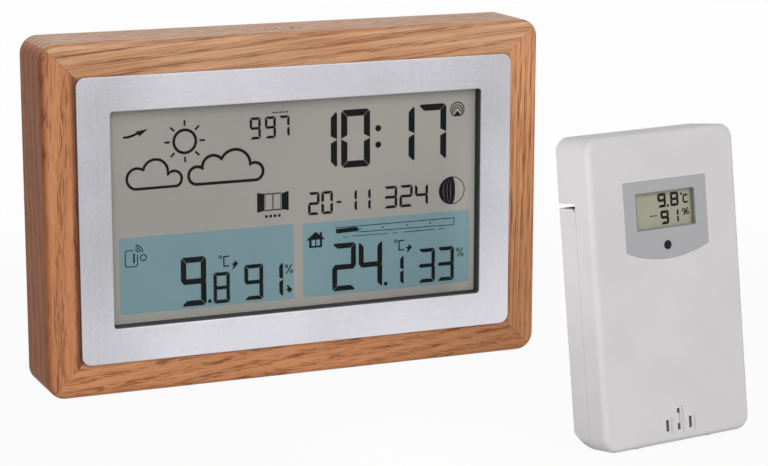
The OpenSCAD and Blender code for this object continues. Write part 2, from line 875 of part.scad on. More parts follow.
module key_board_screws() {
    color("silver")
        for (s = [-1, 1])
            translate([s*key_post_x, 0, button_z]) mirror([0, 1, 0])
                screw(lug_hole_r, 3*board_t, small_head_r, small_head_t,
                    -(key_board_back_y - board_t - small_head_t));
}

// Button number i, counted from the left as seen from the front
module rear_button(i) {
    color("gray") translate([(i - (button_count - 1)/2)*button_pitch, 0, button_z]) {
        bar_y(button_r, button_flange_y + button_flange_t/2, button_end_y - button_dome);
        translate([0, button_end_y - button_dome, 0]) rotate([-90, 0, 0])
            cylinder(r1 = button_r, r2 = button_r - button_dome, h = button_dome);
        bar_y(button_r + button_flange_w, button_flange_y, button_flange_y + button_flange_t);
        bar_y(plunger_r, button_inner_y, button_flange_y + button_flange_t/2);
    }
}
module button_set() { rear_button(0); }
module button_up() { rear_button(1); }
module button_down() { rear_button(2); }
module button_alarm() { rear_button(3); }
module button_channel() { rear_button(4); }
module button_history() { rear_button(5); }

module sounder() {
    color("darkgoldenrod") translate([sounder_x, 0, sounder_z])
        bar_y(sounder_r, cover_y - sounder_ledge_t - sounder_t - seat, cover_y - sounder_ledge_t - seat);
}

module room_sensor() {
    board_rear = cover_y - room_post_l;
    color("seagreen") translate([room_x, 0, room_z])
        plate(room_board_w, room_board_h, lcd_corner_r, board_rear - room_board_t, board_rear);
    color("white") translate([room_x - room_chip_w/2, board_rear, room_z - room_chip_w/2])
        cube([room_chip_w, room_chip_t, room_chip_w]);
}

// Places what is modelled in the sensor's own frame: leaning back, turned, and lifted on its feet
module on_sensor() {
    translate([sensor_x, sensor_y, s_lift]) rotate([-sensor_lean, 0, sensor_yaw]) children();
}

// The sensor's whole outer form
module sensor_form() {
    soft_slab(sensor_w, sensor_h, sensor_d, sensor_corner_r, sensor_front_r, sensor_back_r);
}

// A part of the sensor's outer form between two depths and two heights
module sensor_slice(y0, y1, z0, z1) {
    intersection() {
        sensor_form();
        translate([-sensor_w, y0, z0]) cube([2*sensor_w, y1 - y0, z1 - z0]);
    }
}

// What lies outside the bevel at the sensor's lower back edge, or outside a wall along that bevel
module below_toe(wall) {
    translate([-sensor_w, s_toe_y, 0]) rotate([s_toe_angle, 0, 0])
        translate([0, -sensor_d, wall - sensor_d]) cube([2*sensor_w, 3*sensor_d, sensor_d]);
}

// Outline of the grey panel: square above, with a shallow round lower edge
module panel_outline(margin) {
    half = panel_w/2;
    arc_r = (half*half + panel_arc*panel_arc)/(2*panel_arc);
    low = panel_side_end - panel_arc;
    intersection() {
        translate([-half - margin, low - margin])
            square([panel_w + 2*margin, panel_top - low + 2*margin]);
        translate([0, low + arc_r]) circle(r = arc_r + margin, $fn = 180);
    }
}

module sensor_front_housing() {
    color("whitesmoke") on_sensor() difference() {
        union() {
            difference() {
                sensor_slice(-cut, sensor_split, -cut, sensor_h + cut);
                translate([0, 0, sensor_h/2])
                    plate(s_in_w, s_in_h, s_in_r, sensor_wall, sensor_split + cut);
            }
            for (sx = [-1, 1]) {
                for (z = s_post_zs)
                    translate([sx*s_post_x, 0, z]) bar_y(s_post_r, sensor_wall/2, s_plate_y);
                for (z = s_board_post_zs)
                    translate([sx*s_board_post_x, 0, z]) bar_y(s_post_r, sensor_wall/2, s_board_y);
                translate([sx*foot_x, foot_y, foot_z]) sphere(r = foot_r);
            }
            for (i = [-1, 0, 1])
                translate([i*s_vent_pitch + s_vent_w/2 + s_fin_gap, -s_fin_t, s_vent_low - s_fin_gap])
                    cube([s_fin_w, s_fin_t + sensor_wall/2,
                        (i == 0 ? s_vent_mid_h : s_vent_h) + 2*s_fin_gap]);
        }
        across(-cut, panel_t + 2*panel_gap) panel_outline(panel_gap);
        translate([0, 0, eye_z])
            plate(eye_w + 2*eye_lap, eye_h + 2*eye_lap, slip, -cut, sensor_wall + cut);
        translate([0, 0, lamp_z]) bar_y(lamp_r + slip, -cut, sensor_wall + cut);
        for (i = [-1, 0, 1])
            translate([i*s_vent_pitch, 0, s_vent_low + (i == 0 ? s_vent_mid_h : s_vent_h)/2])
                plate(s_vent_w, i == 0 ? s_vent_mid_h : s_vent_h, slip, -cut, sensor_wall + cut);
        for (sx = [-1, 1]) {
            for (z = s_post_zs)
                translate([sx*s_post_x, 0, z]) bar_y(lug_hole_r + hole_gap, sensor_wall, s_plate_y + cut);
            for (z = s_board_post_zs)
                translate([sx*s_board_post_x, 0, z])
                    bar_y(lug_hole_r + hole_gap, sensor_wall, s_board_y + cut);
        }
    }
}

module sensor_display_panel() {
    color("silver") on_sensor() difference() {
        across(panel_gap, panel_t + panel_gap) panel_outline(0);
        translate([0, 0, eye_z]) plate(eye_w, eye_h, slip, -cut, panel_t + cut);
        translate([0, 0, lamp_z]) bar_y(lamp_r + slip, -cut, panel_t + cut);
    }
}

module sensor_window() {
    color("azure", 0.35) on_sensor() translate([0, 0, eye_z])
        plate(eye_w + 2*eye_lap - 2*panel_gap, eye_h + 2*eye_lap - 2*panel_gap, slip,
            panel_t + panel_gap, sensor_wall);
}

module sensor_lcd() {
    color("darkkhaki") on_sensor() translate([0, 0, eye_z])
        plate(eye_w + 2*s_lcd_margin_x, eye_h + 2*s_lcd_margin_z, slip, s_lcd_y, s_lcd_y + s_lcd_t);
}

module sensor_lcd_connector() {
    color("lightpink") on_sensor() translate([0, 0, eye_z - eye_h/2 - s_lcd_margin_z + s_strip_t])
        plate(eye_w, s_strip_t, slip, s_lcd_y + s_lcd_t, s_board_y);
}

module sensor_board() {
    color("seagreen") on_sensor() difference() {
        translate([0, 0, (s_board_low + s_board_top)/2])
            plate(s_board_w, s_board_top - s_board_low, lcd_corner_r, s_board_y, s_board_back);
        for (sx = [-1, 1], z = s_board_post_zs)
            translate([sx*s_board_post_x, 0, z])
                bar_y(lug_hole_r + hole_gap, s_board_y - cut, s_board_back + cut);
    }
}

// The switch bodies that stay on the board under the send button and the channel slider
module sensor_controls() {
    switch_h = 1.2;
    slide_h = 1.4;
    color("black") on_sensor() {
        translate([send_x, 0, send_z]) {
            plate(2*send_r, 2*send_r, slip, s_board_back, s_board_back + switch_h);
            bar_y(send_r/2, s_board_back, send_inner_y - send_travel - press_gap);
        }
        translate([channel_x + channel_step, 0, channel_z])
            plate(channel_knob_w + 5*channel_step, channel_knob_h + channel_flange_w, slip,
                s_board_back, s_board_back + slide_h);
    }
}

module sensor_lamp() {
    color("black") on_sensor() translate([0, 0, lamp_z]) bar_y(lamp_r, 3*panel_gap, s_board_y);
}

module sensor_antenna() {
    coil_r_small = 1.3;
    coil_len = 12;
    color("chocolate") on_sensor()
        translate([0, s_board_back + coil_r_small + panel_gap, s_board_top - 2*s_post_r - coil_len])
            cylinder(r = coil_r_small, h = coil_len);
}

module sensor_probe() {
    probe_w = 15;
    probe_h = 4.4;
    chip_w = 3;
    probe_y = sensor_wall + 2*slip;
    color("seagreen") on_sensor() translate([0, 0, sensor_wall + slip + probe_h/2])
        plate(probe_w, probe_h, slip, probe_y, probe_y + s_board_t);
    color("white") on_sensor()
        translate([-chip_w/2, probe_y - slip, s_vent_low - panel_gap])
            cube([chip_w, slip, chip_w/2]);
}

module sensor_back_housing() {
    plate_low = sensor_wall + slip;
    plate_w = sensor_w - 2*s_cover_wall - 2*slip;
    plate_r = sensor_corner_r - s_cover_wall - slip;
    color("whitesmoke") on_sensor() difference() {
        union() {
            difference() {
                sensor_slice(s_plate_y, sensor_d + cut, s_shell_z, sensor_h + cut);
                translate([0, 0, sensor_h/2])
                    plate(s_in_w, s_in_h, s_in_r, s_plate_y - cut, s_back_in);
            }
            translate([-s_in_w/2 - slip, s_plate_y, s_shell_z])
                cube([s_in_w + 2*slip, s_back_in - s_plate_y + slip, sensor_wall]);
            translate([0, 0, (plate_low + s_shell_z + slip)/2])
                plate(plate_w, s_shell_z + slip - plate_low, plate_r, s_plate_y, s_plate_back);
            translate([0, 0, (s_tray_low + s_tray_top)/2])
                plate(s_tray_in_w + 2*s_tray_wall, s_tray_in_h + 2*s_tray_wall, slip,
                    s_tray_floor_y, s_tray_back);
        }
        translate([0, 0, (s_tray_low + s_tray_top)/2])
            plate(s_tray_in_w, s_tray_in_h, slip, s_tray_floor_y + s_tray_wall, s_tray_back + cut);
        translate([0, 0, s_shell_z + sensor_wall + (sensor_h - s_shell_z)/3])
            across(s_back_in - cut, sensor_d + cut)
                keyhole(hang_hole_r - slip, hang_slot_r, hang_rise - hang_slot_r);
        translate([send_x, 0, send_z]) bar_y(send_r + slip, s_plate_y - cut, s_plate_back + cut);
        translate([channel_x + channel_step, 0, channel_z])
            plate(channel_knob_w + 2*channel_step + 2*slip, channel_knob_h + 2*slip, slip,
                s_plate_y - cut, s_plate_back + cut);
        for (sx = [-1, 1], z = s_post_zs)
            translate([sx*s_post_x, 0, z])
                bar_y(lug_hole_r + hole_gap, s_plate_y - cut, s_plate_back + cut);
    }
}

module sensor_screws() {
    color("silver") on_sensor()
        for (sx = [-1, 1]) {
            for (z = s_post_zs)
                translate([sx*s_post_x, 0, z])
                    screw(lug_hole_r, 4*s_plate_t, small_head_r, small_head_t, s_plate_back + small_head_t);
            for (z = s_board_post_zs)
                translate([sx*s_board_post_x, 0, z])
                    screw(lug_hole_r, 3*s_board_t, small_head_r, small_head_t, s_board_back + small_head_t);
        }
}

module sensor_batteries() {
    color("goldenrod") on_sensor()
        for (i = [0 : s_cells - 1])
            translate([(i - (s_cells - 1)/2)*cell_pitch, s_cell_y, s_tray_low + s_tray_in_h/2])
                rotate([0, i % 2 == 0 ? 90 : -90, 0]) cell();
}

module sensor_contacts() {
    color("silver") on_sensor()
        for (i = [0 : s_cells - 1], s = [-1, 1])
            translate([(i - (s_cells - 1)/2)*cell_pitch, s_cell_y,
                    s_tray_low + s_tray_in_h/2 + s*(s_tray_in_h/2 - pin_gap)])
                rotate([0, s*90, 0]) leaf_contact(1.4*cell_r);
}

module sensor_battery_cover() {
    color("whitesmoke") on_sensor() difference() {
        union() {
            difference() {
                sensor_slice(s_cover_y, sensor_d + cut, -cut, sensor_cover_h);
                difference() {
                    translate([0, 0, sensor_h/2])
                        plate(sensor_w - 2*s_cover_wall, sensor_h - 2*s_cover_wall,
                            sensor_corner_r - s_cover_wall, s_cover_y - cut, sensor_d - s_cover_wall);
                    below_toe(s_cover_wall);
                }
            }
            translate([-recess_w/2 - recess_wall, sensor_d - recess_d - recess_wall, s_cover_wall/2])
                cube([recess_w + 2*recess_wall, recess_d + recess_wall - s_cover_wall/2,
                    stand_z + knuckle_r + 2*recess_wall - s_cover_wall/2]);
            for (s = [-1, 1])
                translate([s*(recess_w/2 + ear_w/2) - ear_w/2, sensor_d - recess_d - recess_wall,
                        stand_z - ear_h])
                    cube([ear_w, recess_d + recess_wall - s_cover_wall/2, 2*ear_h]);
        }
        translate([-recess_w/2, sensor_d - recess_d, -cut])
            cube([recess_w, recess_d + cut, stand_z + knuckle_r + recess_wall + cut]);
        translate([0, stand_y, stand_z]) bar_x(pin_r + pin_gap, recess_w + 2*ear_w - 2*slip);
        below_toe(0);
        difference() {
            translate([-sensor_w, s_cover_y - cut, sensor_cover_h - sensor_cover_r])
                cube([2*sensor_w, sensor_cover_r + cut, sensor_cover_r + cut]);
            translate([0, s_cover_y + sensor_cover_r, sensor_cover_h - sensor_cover_r])
                bar_x(sensor_cover_r, 3*sensor_w);
        }
    }
}

// The leg in its own frame: hinge at the origin, tip straight down
module stand_leg() {
    difference() {
        union() {
            bar_x(knuckle_r, stand_w);
            translate([-stand_w/2, -stand_t/2, -stand_reach]) cube([stand_w, stand_t, stand_reach]);
            translate([0, 0, -stand_reach]) bar_x(stand_tip_r, stand_w);
        }
        bar_x(pin_r + pin_gap, stand_w + 2*cut);
        translate([0, 0, -stand_reach/2])
            plate(stand_w/2, stand_reach/2, knuckle_r, -stand_t, stand_t/4);
    }
}

module sensor_stand() {
    color("whitesmoke") on_sensor()
        translate([0, stand_y, stand_z]) rotate([stand_open, 0, 0]) stand_leg();
}

module sensor_stand_pin() {
    color("silver") on_sensor()
        translate([0, stand_y, stand_z]) bar_x(pin_r, recess_w + 2*ear_w - 4*slip);
}

module sensor_send_button() {
    color("gray") on_sensor() translate([send_x, 0, send_z]) {
        bar_y(send_r, send_inner_y + send_flange_t/2, s_plate_back + send_tip);
        bar_y(send_r + 2*slip, send_inner_y, send_inner_y + send_flange_t);
    }
}

module sensor_channel_switch() {
    color("black") on_sensor() translate([channel_x, 0, channel_z]) {
        plate(channel_knob_w, channel_knob_h, slip, send_inner_y + send_flange_t/2,
            s_plate_back + send_tip/2);
        plate(channel_knob_w + channel_flange_w, channel_knob_h + channel_flange_w, slip,
            send_inner_y, send_inner_y + send_flange_t);
    }
}

frame_top_rail();
frame_bottom_rail();
frame_left_stile();
frame_right_stile();
bezel();
front_housing();
display_window();
lcd_panel();
light_guide();
lcd_holder();
lcd_connectors();
main_board();
board_chips();
board_screws();
touch_plate();
ferrite_rod();
antenna_coil();
hookup_wires();
rear_cover();
cover_screws();
battery_door();
batteries();
battery_contacts();
key_board();
key_switches();
key_board_screws();
button_set();
button_up();
button_down();
button_alarm();
button_channel();
button_history();
sounder();
room_sensor();
sensor_front_housing();
sensor_display_panel();
sensor_window();
sensor_lcd();
sensor_lcd_connector();
sensor_board();
sensor_controls();
sensor_lamp();
sensor_antenna();
sensor_probe();
sensor_back_housing();
sensor_screws();
sensor_batteries();
sensor_contacts();
sensor_battery_cover();
sensor_stand();
sensor_stand_pin();
sensor_send_button();
sensor_channel_switch();
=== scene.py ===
"""Looks of the oak weather station and its remote sensor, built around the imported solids.

Tables and shapes are in millimetres and become metres when a mesh is made; only the camera and the lamps are
placed in metres. X runs to the right, Y to the back and Z up. Shapes are numpy arrays of points: a loop is one
closed row of points, an outline is a loop of (x, z) points, and a skin is what joined loops make, its points,
quads and end caps.
"""
import json
import math

import bpy
import numpy as np
from mathutils import Matrix, Vector

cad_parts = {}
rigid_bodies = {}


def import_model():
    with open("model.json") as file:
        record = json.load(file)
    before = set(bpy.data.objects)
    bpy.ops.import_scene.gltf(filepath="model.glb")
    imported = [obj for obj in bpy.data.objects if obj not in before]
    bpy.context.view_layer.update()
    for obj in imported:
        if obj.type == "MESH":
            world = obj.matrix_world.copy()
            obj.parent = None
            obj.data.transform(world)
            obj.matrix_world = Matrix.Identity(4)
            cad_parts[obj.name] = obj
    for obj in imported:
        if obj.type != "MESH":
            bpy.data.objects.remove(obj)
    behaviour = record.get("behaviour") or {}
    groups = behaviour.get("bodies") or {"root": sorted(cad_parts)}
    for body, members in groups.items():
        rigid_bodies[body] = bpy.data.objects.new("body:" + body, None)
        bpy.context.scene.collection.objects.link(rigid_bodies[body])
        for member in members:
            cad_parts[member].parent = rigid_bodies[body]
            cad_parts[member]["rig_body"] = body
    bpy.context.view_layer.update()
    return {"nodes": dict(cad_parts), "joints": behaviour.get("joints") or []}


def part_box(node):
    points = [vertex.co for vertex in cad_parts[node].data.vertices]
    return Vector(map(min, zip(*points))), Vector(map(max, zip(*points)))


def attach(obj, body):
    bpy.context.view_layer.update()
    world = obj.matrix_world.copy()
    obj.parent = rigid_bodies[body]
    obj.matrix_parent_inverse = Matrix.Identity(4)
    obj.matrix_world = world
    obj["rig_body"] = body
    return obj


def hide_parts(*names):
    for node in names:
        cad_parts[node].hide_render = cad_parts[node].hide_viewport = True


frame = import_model()

MM = 0.001
MERGE_DISTANCE = 1e-6


def tone(red, green, blue):
    """A colour given as the eye reads it, 0 to 255, turned into the linear values that a shader takes: each
    share of 255 is divided by 12.92 when it is dark, and else becomes ((share + 0.055) / 1.055) ^ 2.4."""
    share = np.array([red, green, blue]) / 255
    linear = np.where(share <= 0.04045, share / 12.92, ((share + 0.055) / 1.055) ** 2.4)
    return (*linear.tolist(), 1.0)


def scaled(colour, factor, offset=0.0):
    """A colour with its three parts multiplied by a factor and raised by an offset."""
    return [part * factor + offset for part in colour[:3]] + [1.0]


def span(node):
    """Lowest and highest corner of a solid at rest, in millimetres."""
    low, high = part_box(node)
    return np.array(low) / MM, np.array(high) / MM


# Shaders


class Wire:
    """One value inside a material. Arithmetic on it adds Math nodes, so a formula reads as plain sums."""

    def __init__(self, finish, socket):
        self.finish, self.socket = finish, socket

    def maths(self, operation, *values):
        return self.finish.add("Math", {"operation": operation}, dict(enumerate(values)))

    def __add__(self, other):
        return self.maths("ADD", self, other)

    def __sub__(self, other):
        return self.maths("SUBTRACT", self, other)

    def __rsub__(self, other):
        return self.maths("SUBTRACT", other, self)

    def __mul__(self, other):
        return self.maths("MULTIPLY", self, other)

    def __truediv__(self, other):
        return self.maths("DIVIDE", self, other)

    __radd__ = __add__
    __rmul__ = __mul__

    def fract(self):
        return self.maths("FRACT", self)

    def absolute(self):
        return self.maths("ABSOLUTE", self)

    def root(self):
        return self.maths("SQRT", self)

    def larger(self, other):
        return self.maths("MAXIMUM", self, other)

    def eased(self, low, high):
        """0 below the low value, 1 above the high one, and the smooth step 3t^2 - 2t^3 between."""
        return self.finish.add("MapRange", {"interpolation_type": "SMOOTHSTEP"}, {0: self, 1: low, 2: high})


class Nodes:
    """A node tree that is filled with short calls."""

    def __init__(self, tree):
        self.tree = tree

    def add(self, kind, settings=None, sockets=None, out=0):
        """Adds a node of a kind, sets its settings first, then fills its sockets with values or wires."""
        node = self.tree.nodes.new("ShaderNode" + kind)
        for key, value in (settings or {}).items():
            setattr(node, key, value)
        for key, value in (sockets or {}).items():
            self.feed(node.inputs[key], value)
        return Wire(self, node.outputs[out])

    def feed(self, socket, value):
        if isinstance(value, Wire):
            self.tree.links.new(value.socket, socket)
        else:
            socket.default_value = value

    def seen(self):
        """1 for the camera and for what it sees in gloss or through glass, 0 for the light on things."""
        rays = self.add("LightPath").socket.node.outputs
        camera, gloss, through = (Wire(self, rays[f"Is {kind} Ray"])
                                  for kind in ("Camera", "Glossy", "Transmission"))
        return camera.larger(gloss).larger(through)


class Finish(Nodes):
    """One procedural material: a single surface shader, and the nodes that vary it over the piece."""

    def __init__(self, name, colour, **plain):
        self.material = bpy.data.materials.new(name)
        self.material.use_nodes = True
        super().__init__(self.material.node_tree)
        self.surface = next(n for n in self.tree.nodes if n.type == "BSDF_PRINCIPLED")
        self.surface.inputs["Base Color"].default_value = colour
        self.material.diffuse_color = colour
        for socket, value in plain.items():
            self.surface.inputs[socket.replace("_", " ")].default_value = value

    def vary(self, **wires):
        """Feeds sockets of the surface shader, named with _ for the space."""
        for socket, wire in wires.items():
            self.feed(self.surface.inputs[socket.replace("_", " ")], wire)

    def place(self, stretch=(1, 1, 1)):
        """The point on the piece in millimetres, multiplied by the stretch."""
        point = self.add("TexCoord", out="Object")
        return self.add("VectorMath", {"operation": "MULTIPLY"}, {0: point, 1: [s / MM for s in stretch]})

    def dot(self, point, direction):
        """How far a point lies along a direction: their dot product."""
        return self.add("VectorMath", {"operation": "DOT_PRODUCT"}, {0: point, 1: direction}, out=1)

    def vector(self, x, y, z):
        return self.add("CombineXYZ", None, {0: x, 1: y, 2: z})

    def noise(self, point, scale=1.0, detail=2.0, roughness=0.5):
        return self.add("TexNoise", None, {"Vector": point, "Scale": scale, "Detail": detail,
                                           "Roughness": roughness})

    def split(self, point):
        """The three parts of a vector as wires."""
        parts = self.add("SeparateXYZ", None, {0: point}).socket.node.outputs
        return [Wire(self, part) for part in parts]

    def mix(self, factor, first, second, blend="MIX"):
        return self.add("Mix", {"data_type": "RGBA", "blend_type": blend}, {0: factor, 6: first, 7: second}, out=2)

    def bump(self, height, strength, depth):
        """A normal from a height of 0 to 1 that stands for a depth in millimetres."""
        return self.add("Bump", None, {"Strength": strength, "Distance": depth * MM, "Height": height})


# Ranges over which painted shade or light sets in: painted shade on the left board's outer face, counted to the
# left, and a painted shadow in a line beside the bezel; painted light on the display towards the opening's right
# wall, where it fades again on the way up
OUTER_FACE = (94.6, 96.8)
SHADOW_LINE_AT_BEZEL = (-87.3, -85.5)
WALL_NEAR, WALL_FADE = (58.0, 74.0), (55.0, 110.0)


def oak(name, along_z, lean, band_lean, pitch, waves, line, fleck, light, mid, streak, pore, seed,
        roughness=0.5, painted_flank_shade=None):
    """Oak with its grain along X or Z. The growth rings are sheets: ring = fract((across + 0.9 depth -
    along tan(band lean) + slow waves) / pitch), and each opens with a porous band. Lines and flecks are
    noise drawn out along strands, across + 0.9 depth - along tan(lean) + a quarter of the waves, and cut
    off near its top, as (length, breadth, cut) in millimetres. They crowd in the porous bands. The left
    board's outer face is duller, and darkened by a tone of painted shade, and a line along the bezel by a painted
    shadow."""
    f = Finish(name, mid, Roughness=roughness, Specular_IOR_Level=0.45)
    x, depth, z = f.split(f.place())
    along, across = (z, x) if along_z else (x, z)
    wander = f.noise(f.vector(along * 0.012 + seed, depth * 0.03, across * 0.04), detail=1.0) - 0.5
    level = across + depth * 0.9
    sheet = level - along * math.tan(math.radians(band_lean)) + wander * waves
    strand = level - along * math.tan(math.radians(lean)) + wander * (waves / 4)
    ring = (sheet / pitch + seed * 0.37).fract()
    porous = ring.eased(0.0, 0.1) * (1 - ring.eased(0.34, 0.7))

    def drawn(length, breadth, detail, shift):
        """Noise with grains of a length and a breadth, lying along the strands."""
        point = f.vector(along / length + shift, depth / (2 * breadth) + seed, strand / breadth)
        return f.noise(point, 1.0, detail, 0.45)

    fibre = drawn(38.0, 0.3, 3.0, 3.1)
    length, breadth, cut = line
    long_lines = drawn(length, breadth, 1.0, 7.7).eased(cut, cut + 0.06) * (0.4 + 0.6 * porous)
    length, breadth, cut = fleck
    flecks = drawn(length, breadth, 0.0, 11.3).eased(cut, cut + 0.08) * (0.25 + 0.75 * porous)
    patch = f.noise(f.vector(along * 0.02, depth * 0.06, across * 0.09 + seed), detail=1.0)
    body = f.mix(patch.eased(0.35, 0.7), light, mid)
    outside = (-1 * x).eased(*OUTER_FACE)
    body = f.mix(porous * (0.4 + 0.3 * outside), body, streak)
    body = f.mix(fibre.eased(0.4, 0.68) * 0.5, body, streak)
    body = f.mix(flecks * 0.7, body, pore)
    body = f.mix(long_lines * 0.9, body, pore)
    rough = roughness + 0.15 * long_lines + 0.08 * fibre
    if painted_flank_shade:
        # painted shade on the left board's outer face
        body = f.mix(outside, body, painted_flank_shade, "MULTIPLY")
        # painted shadow in a line beside the bezel
        body = f.mix(x.eased(*SHADOW_LINE_AT_BEZEL), body, tone(166, 146, 132), "MULTIPLY")
        rough = rough + 0.12 * outside
    f.vary(Base_Color=body, Roughness=rough,
           Normal=f.bump(1 - long_lines * 0.6 - flecks * 0.3 - fibre * 0.2, 0.4, 0.08))
    return f.material


def brushed_sheet(name, colour):
    """Satin sheet round the window, brushed along its sides: noise drawn out along X, and along Z beside
    the window, with a soft mottle that dents it. The share of its darker tone is an even part, plus the
    texture's part, plus broad parts of painted shade and painted light: painted shade from the lower edge up, at
    the left and high at the right, and painted light low at the right."""
    f = Finish(name, colour, Metallic=0.6, Roughness=0.4)
    x, depth, z = f.split(f.place())
    lying = f.noise(f.vector(x * 0.045, depth, z * 2.4), 1.0, 3.0, 0.6)
    upright = f.noise(f.vector(x * 2.4, depth, z * 0.045), 1.0, 3.0, 0.6)
    beside = x.absolute().eased(72.0, 77.0)
    grain = lying + (upright - lying) * beside
    mottle = f.noise(f.place(), 0.75)
    slow = f.noise(f.place(), 0.03, 1.0)
    texture = 0.049 * grain.eased(0.3, 0.7) + 0.043 * mottle.eased(0.4, 0.62) + 0.08 * slow.eased(0.35, 0.65)
    # painted shade and light: darker from the lower edge up and at the left, lighter low and darker high at the right
    painted_shade_upward = 0.257 * z.eased(14.0, 60.0)
    left = 0.22 * (-1 * x).eased(45.0, 80.0)
    painted_light_low_right = x.eased(5.0, 45.0) * (0.12 * z.eased(8.0, 50.0) + 0.165 * z.eased(60.0, 105.0) - 0.285)
    painted_shade_high_right = 0.2 * x.eased(40.0, 80.0) * z.eased(50.0, 118.0)
    even = 0.31
    texture_and_painted_shade = even + texture + painted_shade_upward + left + painted_light_low_right + painted_shade_high_right
    f.vary(Base_Color=f.mix(texture_and_painted_shade, colour, scaled(colour, 0.4)), Roughness=0.36 + 0.1 * grain,
           Normal=f.bump(0.5 * grain + 0.5 * mottle, 0.2, 0.015))
    return f.material


def brushed(name, colour, roughness, stretch, depth, metallic=1.0, fleck=0.0):
    """Metal with fine grain: noise stretched by the three shares dents it and varies its roughness."""
    f = Finish(name, colour, Metallic=metallic, Roughness=roughness)
    grain = f.noise(f.place(stretch=stretch), 1.0, 3.0, 0.6)
    orange_peel = f.noise(f.place(), 1.6)
    shade = f.mix(grain * 0.25 + orange_peel.eased(0.4, 0.7) * fleck, colour, scaled(colour, 0.8))
    f.vary(Base_Color=shade, Roughness=roughness - 0.06 + 0.12 * grain,
           Normal=f.bump(0.5 * grain + 0.5 * orange_peel, 0.4, depth))
    return f.material


def moulded(name, colour, roughness, texture_size, depth, drift=0.06, painted_hollow_shade=None, **plain):
    """Moulded plastic: a fine eroded texture of a given size, and a slow drift of shade over the piece. Where
    the painted hollow shade, a wire of 0 to 1, is high, painted shade makes it darker."""
    f = Finish(name, colour, Roughness=roughness, **plain)
    texture = f.noise(f.place(), 1 / texture_size, 2.0, 0.6)
    slow = f.noise(f.place(), 0.035)
    body = f.mix(slow.eased(0.35, 0.65), scaled(colour, 1 - drift), scaled(colour, 1 + drift, drift * 0.01))
    if painted_hollow_shade:
        # painted shade in the hollow, toward a grey tone
        body = f.mix(painted_hollow_shade(f), body, tone(172, 172, 174), "MULTIPLY")
    f.vary(Base_Color=body, Roughness=roughness - 0.05 + 0.1 * texture, Normal=f.bump(texture, 0.35, depth))
    return f.material


def banded(name, first, second, axis, pitch, share, roughness, metallic=0.0):
    """Bands of two colours along one axis: the second colour where fract(place / pitch) is below a share."""
    f = Finish(name, first, Roughness=roughness, Metallic=metallic)
    ring = (f.split(f.place())[axis] / pitch).fract()
    edge = ring.eased(0.0, 0.08) * (1 - ring.eased(share, share + 0.08))
    f.vary(Base_Color=f.mix(edge, first, second), Normal=f.bump(edge, 0.5, 0.05))
    return f.material


def cell(name, body, ends, direction, middle, half):
    """A cell's printed sleeve with bare ends. The place along the cell is the point's dot product with its
    direction, less its middle, and the sleeve covers the half length either way."""
    f = Finish(name, body, Roughness=0.3)
    along = f.dot(f.place(), direction) - middle
    bare = along.absolute().eased(half - 0.1, half + 0.1)
    scuff = f.noise(f.place(), 0.8)
    f.vary(Base_Color=f.mix(bare, body, ends), Metallic=bare, Roughness=0.25 + 0.12 * scuff)
    return f.material


def circuit(name):
    """Green board: copper tracks show as paler lines where a cell pattern's edges are near."""
    f = Finish(name, tone(20, 78, 44), Roughness=0.35, Coat_Weight=0.3)
    cells = f.add("TexVoronoi", {"feature": "DISTANCE_TO_EDGE", "distance": "EUCLIDEAN"},
                  {"Vector": f.place(stretch=(0.25, 0.25, 0.25)), "Scale": 1.0})
    track = 1 - cells.eased(0.03, 0.06)
    f.vary(Base_Color=f.mix(track, tone(18, 72, 40), tone(44, 112, 66)), Normal=f.bump(track, 0.4, 0.03))
    return f.material


def clear(name, colour, alpha):
    """Clear acrylic: mostly see-through, with a faint haze that varies the roughness."""
    f = Finish(name, colour, Alpha=alpha, IOR=1.49)
    f.vary(Roughness=0.06 + 0.08 * f.noise(f.place(), 0.2))
    return f.material


def display_film(name, colour, edge_colour, gloss=0.3, painted_light_factor=1.0):
    """Polariser over the display, or the ink on it: nearly even colour with a slow drift and a very fine
    grain, lifted by a factor of painted light low beside the opening's right wall, against the shade it casts."""
    f = Finish(name, colour, Roughness=0.5, Specular_IOR_Level=gloss)
    slow = f.noise(f.place(), 0.02, 1.0)
    grain = f.noise(f.place(), 6.0, 1.0)
    x, _, z = f.split(f.place())
    body = f.mix(0.55 * slow.eased(0.3, 0.7) + 0.12 * grain, colour, edge_colour)
    # painted light low beside the opening's right wall
    wall = x.eased(*WALL_NEAR) * (1 - z.eased(*WALL_FADE))
    f.vary(Base_Color=f.mix(wall, body, (painted_light_factor, painted_light_factor, painted_light_factor, 1.0), "MULTIPLY"))
    return f.material


OAK_TOP = oak("oak_top", along_z=False, lean=4.8, band_lean=4.2, pitch=4.4, waves=4.0,
              line=(36.0, 0.28, 0.56), fleck=(10.0, 0.24, 0.58), light=tone(210, 161, 123),
              mid=tone(196, 144, 101), streak=tone(169, 112, 70), pore=tone(106, 60, 30), seed=1.0,
              roughness=0.42)
OAK_BOTTOM = oak("oak_bottom", along_z=False, lean=1.8, band_lean=6.5, pitch=4.6, waves=5.0,
                 line=(9.0, 0.48, 0.57), fleck=(5.0, 0.36, 0.56), light=tone(205, 141, 95),
                 mid=tone(196, 131, 84), streak=tone(171, 109, 64), pore=tone(126, 73, 38), seed=4.0)
OAK_LEFT = oak("oak_left", along_z=True, lean=1.0, band_lean=2.5, pitch=6.2, waves=8.0,
               line=(9.0, 0.45, 0.585), fleck=(5.5, 0.4, 0.57), light=tone(199, 134, 87),
               mid=tone(190, 125, 78), streak=tone(168, 104, 60), pore=tone(130, 74, 38), seed=7.0,
               painted_flank_shade=tone(213, 195, 182))
# The right board's tones are partly painted light: raised a little against the sensor's shadow on it
OAK_RIGHT = oak("oak_right", along_z=True, lean=1.0, band_lean=0.8, pitch=2.4, waves=1.5,
                line=(19.0, 0.38, 0.552), fleck=(7.5, 0.31, 0.58), light=tone(214, 152, 104),
                mid=tone(205, 142, 92), streak=tone(175, 114, 68), pore=tone(118, 69, 37), seed=9.0)
BEZEL = brushed_sheet("bezel_satin", tone(240, 239, 246))
